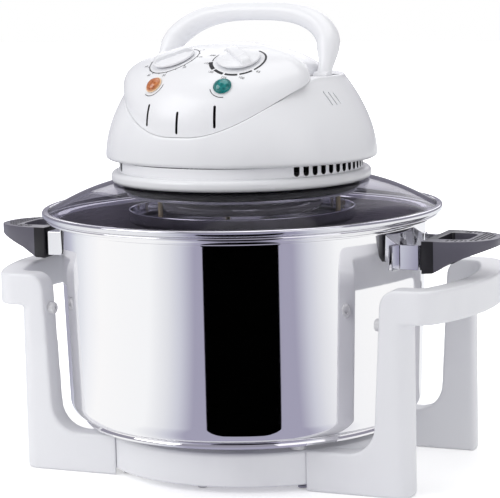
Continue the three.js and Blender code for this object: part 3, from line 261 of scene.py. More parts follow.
def move(piece: Piece, matrix: Matrix) -> Piece:
    """Moves a piece's mesh by a matrix, so that its object stays at the origin."""
    rest()
    piece.matrix_world = matrix
    pick(piece)
    bpy.ops.object.transform_apply(location=True, rotation=True, scale=True)
    if matrix.determinant() < 0:
        edit(piece)
        tidy()
    return piece


def modify(piece: Piece, kind: str, **settings: object) -> None:
    """Adds a modifier with its settings and applies it."""
    pick(piece)
    bpy.ops.object.modifier_add(type=kind)
    modifier = piece.modifiers[-1]
    for key, value in settings.items():
        setattr(modifier, key, value)
    bpy.ops.object.modifier_apply(modifier=modifier.name)


def combine(piece: Piece, tool: Piece, operation: str) -> None:
    """Joins, cuts or intersects a piece with a tool, which is then deleted."""
    modify(piece, "BOOLEAN", object=tool, operation=operation, solver="EXACT")
    pick(tool)
    bpy.ops.object.delete()


def cut(piece: Piece, tool: Piece) -> None:
    """Cuts a tool out of a piece."""
    combine(piece, tool, "DIFFERENCE")


def join(pieces: Sequence[Piece]) -> Piece:
    """Puts the meshes of several pieces into the first one."""
    pick(pieces[0])
    for other in pieces[1:]:
        other.select_set(True)
    bpy.ops.object.join()
    return pieces[0]


def copy(piece: Piece, name: str, matrix: Matrix) -> Piece:
    """A copy of a piece with its own mesh, moved by a matrix."""
    twin = piece.copy()
    twin.data = piece.data.copy()
    twin.name = twin.data.name = name
    bpy.context.collection.objects.link(twin)
    return move(twin, matrix)


def bevel(piece: Piece, width: float, segments: int = 3, limit: float = 35) -> None:
    """Rounds the edges sharper than a limit in degrees, by a width in mm."""
    modify(piece, "BEVEL", width=width * MM, segments=segments, limit_method="ANGLE",
           angle_limit=radians(limit), harden_normals=False)


def mould(piece: Piece, voxel: float, rounds: int) -> None:
    """Turns a piece into one skin of small faces with softly rounded edges, as a moulding has."""
    modify(piece, "REMESH", mode="VOXEL", voxel_size=voxel * MM, adaptivity=0)
    modify(piece, "SMOOTH", factor=0.5, iterations=rounds)


def spun(angle: float) -> Matrix:
    """A turn about Z."""
    return Matrix.Rotation(angle, 4, "Z")


def aside(side: Side, height: float = 0) -> Matrix:
    """A turn of Z to the left or right, at a height in mm."""
    return Matrix.Translation((0, 0, height * MM)) @ Matrix.Rotation(side.value * pi / 2, 4, "Y")


def mirrored() -> Matrix:
    """A mirror image across the YZ plane."""
    return Matrix.Diagonal((-1, 1, 1, 1))


def outwardness(face: Face) -> float:
    """How far a face looks away from Z: 1 straight out, -1 straight in."""
    reach = max(hypot(face.center.x, face.center.y), MM)
    return (face.normal.x * face.center.x + face.normal.y * face.center.y) / reach


# Shader effects that several finishes share


class Effects:
    """Shader node groups for grain, wear and brushing, each built once."""

    NOISE_SPAN: Point2 = (0.3, 0.7)
    SMEAR_SPAN: Point2 = (0.52, 0.78)
    LINE_STRETCH: Point3 = (0.4, 0.4, 40)
    SMEAR_STRETCH: Point3 = (1, 1, 0.5)

    def __init__(self) -> None:
        """Builds the groups."""
        self.skin = self._moulded_skin()
        self.polish = self._polish_lines()
        self.speckle = self._speckle()
        self.dust = self._handling()

    @staticmethod
    def _group(name: str, inputs: Sequence[tuple[str, float]], outputs: Sequence[str]) -> Tree:
        """An empty group with named value inputs and value outputs."""
        tree = bpy.data.node_groups.new(name, "ShaderNodeTree")
        for label, value in inputs:
            socket = tree.interface.new_socket(label, in_out="INPUT", socket_type="NodeSocketFloat")
            socket.default_value = value
        for label in outputs:
            tree.interface.new_socket(label, in_out="OUTPUT", socket_type="NodeSocketFloat")
        tree.nodes.new("NodeGroupInput").name = "in"
        tree.nodes.new("NodeGroupOutput").name = "out"
        return tree

    @staticmethod
    def _noise(tree: Tree, scale: str, detail: float, stretch: Point3 = (1, 1, 1)) -> Node:
        """A noise texture on object coordinates whose scale comes from a group input."""
        place = tree.nodes.new("ShaderNodeTexCoord")
        mapping = tree.nodes.new("ShaderNodeMapping")
        mapping.inputs["Scale"].default_value = stretch
        noise = tree.nodes.new("ShaderNodeTexNoise")
        noise.inputs["Detail"].default_value = detail
        tree.links.new(place.outputs["Object"], mapping.inputs["Vector"])
        tree.links.new(mapping.outputs["Vector"], noise.inputs["Vector"])
        tree.links.new(tree.nodes["in"].outputs[scale], noise.inputs["Scale"])
        return noise

    @staticmethod
    def _map(tree: Tree, source: Socket, span: Point2) -> Node:
        """Maps the useful span of a texture onto the range from 0 to 1."""
        spread = tree.nodes.new("ShaderNodeMapRange")
        spread.inputs["From Min"].default_value, spread.inputs["From Max"].default_value = span
        tree.links.new(source, spread.inputs["Value"])
        return spread

    def _gloss(self, tree: Tree, source: Socket) -> None:
        """Feeds a texture into the group's Roughness, from its Low input to its High one."""
        spread = self._map(tree, source, self.NOISE_SPAN)
        tree.links.new(tree.nodes["in"].outputs["Low"], spread.inputs["To Min"])
        tree.links.new(tree.nodes["in"].outputs["High"], spread.inputs["To Max"])
        tree.links.new(spread.outputs["Result"], tree.nodes["out"].inputs["Roughness"])

    def _moulded_skin(self) -> Tree:
        """Fine surface texture of a moulding, with gloss that drifts a little."""
        inputs = [("Grain Scale", 900), ("Drift Scale", 14), ("Low", 0.2), ("High", 0.3)]
        tree = self._group("moulded_skin", inputs, ["Height", "Roughness"])
        grain = self._noise(tree, "Grain Scale", 3)
        drift = self._noise(tree, "Drift Scale", 2)
        tree.links.new(grain.outputs["Fac"], tree.nodes["out"].inputs["Height"])
        self._gloss(tree, drift.outputs["Fac"])
        return tree

    def _polish_lines(self) -> Tree:
        """Hair lines that run round a turned sheet, with gloss that follows them."""
        inputs = [("Line Scale", 60), ("Low", 0.03), ("High", 0.08)]
        tree = self._group("polish_lines", inputs, ["Height", "Roughness"])
        lines = self._noise(tree, "Line Scale", 4, self.LINE_STRETCH)
        tree.links.new(lines.outputs["Fac"], tree.nodes["out"].inputs["Height"])
        self._gloss(tree, lines.outputs["Fac"])
        return tree

    def _speckle(self) -> Tree:
        """Small pits and grains, as in bakelite, ceramic and cast parts."""
        tree = self._group("speckle", [("Scale", 1500)], ["Height"])
        place = tree.nodes.new("ShaderNodeTexCoord")
        cells = tree.nodes.new("ShaderNodeTexVoronoi")
        tree.links.new(place.outputs["Object"], cells.inputs["Vector"])
        tree.links.new(tree.nodes["in"].outputs["Scale"], cells.inputs["Scale"])
        tree.links.new(cells.outputs["Distance"], tree.nodes["out"].inputs["Height"])
        return tree

    def _handling(self) -> Tree:
        """A soft mask of where hands and cloths have dulled a surface."""
        tree = self._group("handling", [("Scale", 22)], ["Mask"])
        smear = self._noise(tree, "Scale", 5, self.SMEAR_STRETCH)
        spread = self._map(tree, smear.outputs["Fac"], self.SMEAR_SPAN)
        tree.links.new(spread.outputs["Result"], tree.nodes["out"].inputs["Mask"])
        return tree


class Shade:
    """A material under construction, with its shader at hand."""

    def __init__(self, name: str) -> None:
        """Makes an empty material with one Principled shader."""
        self.material = bpy.data.materials.new(name)
        self.material.use_nodes = True
        self.tree = self.material.node_tree
        self.shader = self.tree.nodes["Principled BSDF"]

    def set(self, **values: float | tuple[float, ...]) -> None:
        """Sets sockets of the shader; an underscore in a name stands for a space."""
        for key, value in values.items():
            self.shader.inputs[key.replace("_", " ")].default_value = value

    def node(self, kind: str, **inputs: float | tuple[float, ...]) -> Node:
        """Adds a shader node and sets its sockets; an underscore in a name stands for a space."""
        node = self.tree.nodes.new(f"ShaderNode{kind}")
        for key, value in inputs.items():
            node.inputs[key.replace("_", " ")].default_value = value
        return node

    def group(self, tree: Tree, **inputs: float) -> Node:
        """Adds a shared effect with its own values."""
        node = self.tree.nodes.new("ShaderNodeGroup")
        node.node_tree = tree
        for key, value in inputs.items():
            node.inputs[key.replace("_", " ")].default_value = value
        return node

    def link(self, source: Socket, target: Socket) -> None:
        """Joins two sockets."""
        self.tree.links.new(source, target)

    def bump(self, height: Socket, strength: float, distance: float) -> None:
        """Feeds a height into the shader's normal."""
        node = self.node("Bump", Strength=strength, Distance=distance)
        self.link(height, node.inputs["Height"])
        self.link(node.outputs["Normal"], self.shader.inputs["Normal"])

    def blend(self, mask: Socket, low: Point3 | Socket, high: Point3) -> Socket:
        """Blends a colour, or what comes from another node, into a second colour by a mask."""
        node = self.tree.nodes.new("ShaderNodeMix")
        node.data_type = "RGBA"
        node.inputs["B"].default_value = (*high, 1)
        if isinstance(low, Socket):
            self.link(low, node.inputs["A"])
        else:
            node.inputs["A"].default_value = (*low, 1)
        self.link(mask, node.inputs["Factor"])
        return node.outputs["Result"]

    def tint(self, mask: Socket, low: Point3 | Socket, high: Point3) -> None:
        """Feeds a blend of two colours into the base colour."""
        self.link(self.blend(mask, low, high), self.shader.inputs["Base Color"])


@dataclass(frozen=True)
class Finish:
    """A kind of finish; its name is its material's name."""

    name: str

    def build(self, effects: Effects) -> Material:
        """Builds the material with the shared effects and returns it."""
        shade = Shade(self.name)
        self.fill(shade, effects)
        return shade.material

    def fill(self, shade: Shade, effects: Effects) -> None:
        """Sets the shader up, in each kind's own way."""
        raise NotImplementedError


@dataclass(frozen=True)
class MouldedPlastic(Finish):
    """Moulded plastic or rubber with a fine skin."""

    colour: Point3
    worn: Point3
    gloss: Point2
    grain: float = 900
    depth: float = 0.00002
    strength: float = 0.12
    coat: float = 0.0
    see_through: float = 0.0

    def fill(self, shade: Shade, effects: Effects) -> None:
        """A material with drifting gloss, fine grain and a slight change of colour where it is handled."""
        shade.set(Coat_Weight=self.coat, Coat_Roughness=0.08, Transmission_Weight=self.see_through)
        skin_effect = shade.group(effects.skin, Grain_Scale=self.grain, Low=self.gloss[0], High=self.gloss[1])
        shade.link(skin_effect.outputs["Roughness"], shade.shader.inputs["Roughness"])
        shade.bump(skin_effect.outputs["Height"], self.strength, self.depth)
        smear = shade.group(effects.dust)
        shade.tint(smear.outputs["Mask"], self.colour, self.worn)


@dataclass(frozen=True)
class PolishedMetal(Finish):
    """Sheet or turned metal, from mirror to brushed."""

    colour: Point3
    dull: Point3
    gloss: Point2
    lines: float = 60
    strength: float = 0.02

    def fill(self, shade: Shade, effects: Effects) -> None:
        """A metal with hair lines and faint marks of handling."""
        shade.set(Metallic=1.0)
        lines = shade.group(effects.polish, Line_Scale=self.lines, Low=self.gloss[0], High=self.gloss[1])
        shade.link(lines.outputs["Roughness"], shade.shader.inputs["Roughness"])
        shade.bump(lines.outputs["Height"], self.strength, 0.0002)
        smear = shade.group(effects.dust, Scale=9)
        shade.tint(smear.outputs["Mask"], self.colour, self.dull)


@dataclass(frozen=True)
class ClearGlass(Finish):
    """Tempered or quartz glass."""

    colour: Point3
    gloss: Point2
    see_through: float = 1.0
    bend: float = 1.46
    coat: float = 0.0

    def fill(self, shade: Shade, effects: Effects) -> None:
        """A glass with a breath of grease on it."""
        shade.set(Base_Color=(*self.colour, 1), Transmission_Weight=self.see_through, IOR=self.bend,
                  Coat_Weight=self.coat, Coat_Roughness=0.02)
        smear = shade.group(effects.dust, Scale=7)
        spread = shade.node("MapRange", To_Min=self.gloss[0], To_Max=self.gloss[1])
        shade.link(smear.outputs["Mask"], spread.inputs["Value"])
        shade.link(spread.outputs["Result"], shade.shader.inputs["Roughness"])


@dataclass(frozen=True)
class Grained(Finish):
    """Bakelite, ceramic and other pitted solids."""

    colour: Point3
    fleck: Point3
    roughness: float
    grain: float
    strength: float
    metallic: float = 0.0

    def fill(self, shade: Shade, effects: Effects) -> None:
        """A material with pits and flecks."""
        shade.set(Roughness=self.roughness, Metallic=self.metallic)
        pits = shade.group(effects.speckle, Scale=self.grain)
        shade.bump(pits.outputs["Height"], self.strength, 0.0001)
        smear = shade.group(effects.dust, Scale=40)
        shade.tint(smear.outputs["Mask"], self.colour, self.fleck)


@dataclass(frozen=True)
class Layered(Finish):
    """Stacked sheets or wound wire, as lines along one axis."""

    colour: Point3
    seam: Point3
    roughness: float
    pitch: float
    along: str

    def fill(self, shade: Shade, effects: Effects) -> None:
        """A metal with a line at each sheet or turn."""
        shade.set(Metallic=1.0, Roughness=self.roughness)
        place = shade.node("TexCoord")
        wave = shade.node("TexWave", Scale=pi / (20 * self.pitch * MM), Distortion=0.3)
        wave.bands_direction = self.along
        shade.link(place.outputs["Object"], wave.inputs["Vector"])
        shade.bump(wave.outputs["Fac"], 0.5, self.pitch * MM / 3)
        shade.tint(wave.outputs["Fac"], self.seam, self.colour)


@dataclass(frozen=True)
class LampLens(Finish):
    """A coloured lens with a pale rim, lit by the room. Lengths in mm."""

    colour: Point3
    deep: Point3
    rim: Point3
    centre: Vector
    rim_start: float
    rim_fade: float = 0.5

    def fill(self, shade: Shade, effects: Effects) -> None:
        """A glossy coloured plastic that is deeper in patches and pale beyond a radius."""
        shade.set(Coat_Weight=0.6, Coat_Roughness=0.03, Roughness=0.12)
        place = shade.node("TexCoord")
        offset = shade.node("VectorMath")
        offset.operation = "DISTANCE"
        offset.inputs[1].default_value = self.centre
        start = self.rim_start * MM
        rim = shade.node("MapRange", From_Min=start, From_Max=start + self.rim_fade * MM)
        facets = shade.node("TexVoronoi", Scale=420.0)
        shade.link(place.outputs["Object"], offset.inputs[0])
        shade.link(place.outputs["Object"], facets.inputs["Vector"])
        shade.link(offset.outputs["Value"], rim.inputs["Value"])
        body = shade.blend(facets.outputs["Distance"], self.deep, self.colour)
        shade.tint(rim.outputs["Result"], body, self.rim)
        shade.bump(facets.outputs["Distance"], 0.15, 0.0003)


class Palette:
    """Every finish of the oven, built once."""

    def __init__(self, effects: Effects, head: HeadForm) -> None:
        """Builds the materials.

        Args:
            effects: Shared shader effects.
            head: Form of the head, which places the lamps.
        """
        amber_spot, green_spot = (head.lamp_place(side).translation for side in Side)
        finishes = (
            MouldedPlastic("stand_plastic", (0.86, 0.865, 0.9), (0.82, 0.825, 0.865), (0.28, 0.38)),
            MouldedPlastic("head_plastic", (0.88, 0.885, 0.915), (0.85, 0.855, 0.89), (0.2, 0.28),
                           strength=0.05),
            MouldedPlastic("clear_rubber", (0.93, 0.93, 0.95), (0.87, 0.87, 0.9), (0.2, 0.35),
                           see_through=0.2),
            # black plastic of the head's inner parts and cord bush, also used as painted shade inside the
            # white covers
            MouldedPlastic("inner_plastic", (0.03, 0.03, 0.034), (0.045, 0.045, 0.05), (0.4, 0.55)),
            MouldedPlastic("print_black", (0.012, 0.012, 0.014), (0.02, 0.02, 0.022), (0.4, 0.5)),
            PolishedMetal("screw_steel", (0.42, 0.42, 0.44), (0.3, 0.3, 0.32), (0.3, 0.45)),
            PolishedMetal("pot_steel", (0.94, 0.935, 0.945), (0.91, 0.9, 0.92), (0.025, 0.05),
                          strength=0.008),
            # rougher steel for the pot's inner wall and floor; its darker colour is painted shade
            PolishedMetal("pot_inside", (0.5, 0.48, 0.49), (0.44, 0.42, 0.43), (0.25, 0.38)),
            PolishedMetal("bracket_chrome", (0.85, 0.85, 0.88), (0.7, 0.7, 0.74), (0.05, 0.12)),
            PolishedMetal("rim_steel", (0.82, 0.82, 0.85), (0.7, 0.7, 0.74), (0.06, 0.12)),
            PolishedMetal("post_brass", (1.0, 0.86, 0.52), (0.92, 0.75, 0.42), (0.4, 0.5)),
            PolishedMetal("inner_steel", (0.62, 0.62, 0.64), (0.5, 0.5, 0.53), (0.2, 0.35), strength=0.1),
            PolishedMetal("guard_chrome", (0.8, 0.8, 0.83), (0.66, 0.66, 0.7), (0.06, 0.14)),
            ClearGlass("lid_glass", (0.66, 0.65, 0.71), (0.0, 0.0), bend=1.07, coat=0.12),
            ClearGlass("quartz", (0.96, 0.95, 0.93), (0.05, 0.2), 0.6),
            Grained("bakelite", (0.01, 0.009, 0.012), (0.02, 0.019, 0.024), 0.3, 1300, 0.3),
            # lighter grey copy of the black bakelite: painted sheen on the grips' lit faces
            Grained("bakelite_sheen", (0.11, 0.105, 0.135), (0.15, 0.145, 0.18), 0.3, 1300, 0.5),
            Grained("ceramic", (0.8, 0.77, 0.7), (0.7, 0.66, 0.58), 0.75, 2200, 0.3),
            Layered("core_steel", (0.36, 0.36, 0.38), (0.1, 0.1, 0.11), 0.4, 0.5, "Z"),
            Layered("winding", (0.66, 0.3, 0.14), (0.2, 0.08, 0.03), 0.3, 0.5, "X"),
            LampLens("amber_lens", (0.72, 0.27, 0.09), (0.3, 0.06, 0.015), (0.98, 0.72, 0.45),
                     amber_spot, 6.6),
            LampLens("green_lens", (0.01, 0.27, 0.26), (0.0, 0.09, 0.09), (0.02, 0.3, 0.29), green_spot, 7.4),
        )
        self.materials = {finish.name: finish.build(effects) for finish in finishes}

    def __getitem__(self, name: str) -> Material:
        """The material of a name."""
        return self.materials[name]


@dataclass
class Part:
    """A part of the oven under construction, with the finishes and the head's form at hand."""

    palette: Palette
    form: HeadForm
    rides_on: ClassVar[Body] = Body.LID
    fit: ClassVar[float] = 0.3

    def build(self) -> None:
        """Builds and dresses the part, in each kind's own way."""
        raise NotImplementedError

    def deliver(self, piece: Piece, slot: str, nodes: Sequence[str] = (), angle: float = 35,
                body: Body | None = None, finish: str = "") -> Piece:
        """Args:
            piece: The finished piece.
            slot: Material slot that it fills, whose finish it gets where no other finish is named.
            nodes: CAD nodes that it stands for.
            angle: Edges sharper than this many degrees stay sharp.
            body: Body that it rides on, where that isn't the part's own.
            finish: Name of its finish, where that isn't the slot's own.

        Returns:
            The piece.
        """
        pick(piece)
        bpy.ops.object.shade_smooth_by_angle(angle=radians(angle))
        piece.data.materials.clear()
        piece.data.materials.append(self.palette[finish or slot])
        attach(piece, (body or self.rides_on).value)
        if nodes:
            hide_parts(*nodes)
        log.info("%s: %d faces", piece.name, len(piece.data.polygons))
        return piece

    def mark(self, piece: Piece, finish: str, chosen: Callable[[Face], bool]) -> None:
        """Gives the faces that a test chooses a second finish."""
        piece.data.materials.append(self.palette[finish])
        for face in piece.data.polygons:
            if chosen(face):
                face.material_index = 1

    def dress(self, node: str, finish: str) -> None:
        """Gives a CAD node that stays as it is its finish."""
        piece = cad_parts[node]
        piece.data.materials.clear()
        piece.data.materials.append(self.palette[finish])


# Stand


@dataclass
class Stand(Part):
    """White ring with two side frames, each two legs and two feet joined by a bowed grip."""

    rides_on: ClassVar[Body] = Body.STAND
    shift: float = 7
    ring_radius: float = 128
    ring_width: float = 36
    ring_low: float = 5.3
    ring_top: float = 33
    ring_corner: float = 3.5
    ring_chamfer: float = 1
    leg_front: float = 97
    leg_depth: float = 21
    leg_outer: float = 174
    leg_top_width: float = 24
    leg_foot_width: float = 31
    leg_corner: float = 14
    foot_start: float = 60
    foot_chamfer: float = 2
    foot_top: float = 33.6
    foot_fillet: float = 24
    grip_top: float = 167
    grip_height: float = 27
    grip_reach: float = 214.5
    grip_radius: float = 200
    grip_corner: float = 20
    grip_thickness: float = 20
    skin_voxel: float = 1.3
    skin_smoothing: int = 9
    overrun: float = 6
    stud_height: float = 137.5
    stud_profile: Outline = ((0, 0.2), (5.0, 0.2), *arc(3.4, 3.9, 1.7, 0, 80, 5), (1.6, 5.6),
                                        (1.5, 4.2), (0, 4.0))
    pad_circle: float = 118
    pad_angle: float = 50
    pad_radius: float = 7
    pad_thickness: float = 5
    pad_round: float = 1.4
    pad_chamfer: Point2 = (0.4, 0.5)
    foot_circle: float = 110
    foot_radius: float = 4.2
    foot_round: float = 1.2
    foot_height: float = 5

    def build(self) -> None:
        """Builds and dresses the whole stand."""
        self.ring()
        self.side_frames()
        self.studs()
        self.pads_and_feet()
        for name, _, _ in self.corners():
            self.dress(f"{name}_frame_screw", "screw_steel")

    def ring(self) -> None:
        """The ring below the pot, with rounded upper edges."""
        outer, inner = self.ring_radius, self.ring_radius - self.ring_width
        top, low, corner, chamfer = self.ring_top, self.ring_low, self.ring_corner, self.ring_chamfer
        profile = [(inner, low), (outer - chamfer, low), (outer, low + chamfer),
                   *arc(outer - corner, top - corner, corner, 0, 90),
                   *arc(inner + corner, top - corner, corner, 90, 180)]
        self.deliver(move(turned("ring_shell", profile, 144), self.place()), "stand_plastic", ["base_ring"])

    def place(self, x: float = 0, y: float = 0, z: float = 0) -> Matrix:
        """A move from the stand's middle to a point of it, in mm."""
        return Matrix.Translation(((self.shift + x) * MM, y * MM, z * MM))

    @staticmethod
    def corners() -> list[tuple[str, int, int]]:
        """The stand's four corners: name, sign of X and sign of Y."""
        return [(f"{end}_{side.label}", side.value, sign) for end, sign in ENDS for side in Side]

    def leg_inner(self, height: float) -> float:
        """Where a leg's inner face stands at a height."""
        share = (height - self.foot_top) / (self.grip_top - self.foot_top)
        return self.leg_outer - mix(self.leg_foot_width, self.leg_top_width, share)

    def leg_outline(self) -> list[Point2]:
        """Outline of a leg and its foot seen from the front."""
        top_start = self.grip_top - self.leg_corner
        fillet_top = self.foot_top + self.foot_fillet
        inner, outer, chamfer = self.leg_inner(fillet_top), self.leg_outer, self.foot_chamfer
        return [(self.foot_start, 0), (outer - chamfer, 0), (outer, chamfer), (outer, self.grip_top),
                *arc(self.leg_inner(top_start) + self.leg_corner, top_start, self.leg_corner, 90, 180, 14),
                *arc(inner - self.foot_fillet, fillet_top, self.foot_fillet, 0, -90, 16),
                (self.foot_start, self.foot_top)]

    def grip_outline(self) -> list[Point2]:
        """Plan of the bowed grip with its two ends on the legs."""
        start = self.leg_outer - self.leg_depth / 2

        def loop(reach: float, radius: float, front: float, corner: float) -> list[Point2]:
            """One side of the plan: a wide bow that turns into the legs by two corners."""
            centre = reach - radius
            corner_y = front - corner
            corner_x = centre + sqrt((radius - corner) ** 2 - corner_y ** 2)
            bend = degrees(atan2(corner_y, corner_x - centre))
            return [(start, -front), *arc(corner_x, -corner_y, corner, -90, -bend, 12),
                    *arc(centre, 0, radius, -bend, bend, 40)[1:-1],
                    *arc(corner_x, corner_y, corner, bend, 90, 12), (start, front)]

        outer = loop(self.grip_reach, self.grip_radius, self.leg_front, self.grip_corner)
        inner = loop(self.grip_reach - self.grip_thickness, self.grip_radius - self.grip_thickness,
                     self.leg_front - self.leg_depth, self.grip_corner / 2)
        return outer + inner[::-1]

    def leg_plan(self) -> list[Point2]:
        """Plan of a leg and its foot, with round outer corners."""
        front, back = self.leg_corner, self.leg_corner / 3
        low, high = -self.leg_front, self.leg_depth - self.leg_front
        inside = self.foot_start - self.foot_fillet
        return [(inside, low), *arc(self.leg_outer - front, low + front, front, -90, 0, 12),
                *arc(self.leg_outer - back, high - back, back, 0, 90, 6), (inside, high)]

    def side_frames(self) -> None:
        """The two moulded side frames."""
        leg = prism_y("right_frame", self.leg_outline(), -self.leg_front, self.leg_depth - self.leg_front)
        plan = prism("leg_plan", self.leg_plan(), -self.overrun, self.grip_top + self.overrun)
        combine(leg, plan, "INTERSECT")
        rear = copy(leg, "rear_leg", Matrix.Diagonal((1, -1, 1, 1)))
        combine(leg, rear, "UNION")
        grip = prism("grip_bar", self.grip_outline(), self.grip_top - self.grip_height, self.grip_top)
        combine(leg, grip, "UNION")
        reach, top = self.ring_radius + self.fit, self.foot_top + self.overrun
        seat = [(0, -self.overrun), (reach, -self.overrun), (reach, top), (0, top)]
        cut(leg, turned("ring_seat", seat, 144))
        mould(leg, self.skin_voxel, self.skin_smoothing)
        copy(leg, "left_frame", mirrored())
        for side in Side:
            piece = move(bpy.data.objects[f"{side.label}_frame"], self.place())
            self.deliver(piece, "stand_plastic", [f"{side.label}_side_frame"], 60)

    def set_out(self, seed: Piece, places: dict[str, Matrix], piece: str, node: str) -> None:
        """Copies one soft part to its places and removes the part it was copied from.

        Args:
            seed: The part, at the origin.
            places: Place of each copy, by the first words of its name.
            piece: Last words of each piece's name.
            node: Last words of each CAD node's name.
        """
        for name, place in places.items():
            self.deliver(copy(seed, f"{name}_{piece}", place), "clear_rubber", [f"{name}_{node}"])
        bpy.data.objects.remove(seed)

    def studs(self) -> None:
        """The four soft studs on the legs."""
        stud = turned("stud", [(r, -z) for r, z in self.stud_profile], 32)
        across, along = self.leg_inner(self.stud_height), self.leg_front - self.leg_depth / 2
        places = {name: self.place(x * across, y * along, self.stud_height)
                  @ Matrix.Rotation(x * pi / 2, 4, "Y") for name, x, y in self.corners()}
        self.set_out(stud, places, "stud", "leg_stud")

    def pads_and_feet(self) -> None:
        """The soft pads under the pot and the soft feet under the ring."""
        low, high = self.ring_top + self.fit, self.ring_top + self.pad_thickness
        radius, corner = self.pad_radius, self.pad_round
        inset, lift = self.pad_chamfer
        profile = [(0, low), (radius - inset, low), (radius, low + lift),
                   *arc(radius - corner, high - corner, corner, 0, 90, 5), (0, high)]
        pad = turned("pad", profile, 36)
        turn = radians(self.pad_angle)
        across, along = self.pad_circle * cos(turn), self.pad_circle * sin(turn)
        places = {name: self.place(x * across, y * along) for name, x, y in self.corners()}
        self.set_out(pad, places, "pad", "pot_pad")
        radius, corner, height = self.foot_radius, self.foot_round, self.foot_height
        profile = [(0, 0), *arc(radius - corner, corner, corner, -90, 0, 4), (radius, height), (0, height)]
        foot = turned("foot", profile, 36)
        self.set_out(foot, {end: self.place(0, y * self.foot_circle) for end, y in ENDS}, "foot", "ring_foot")


# Pot


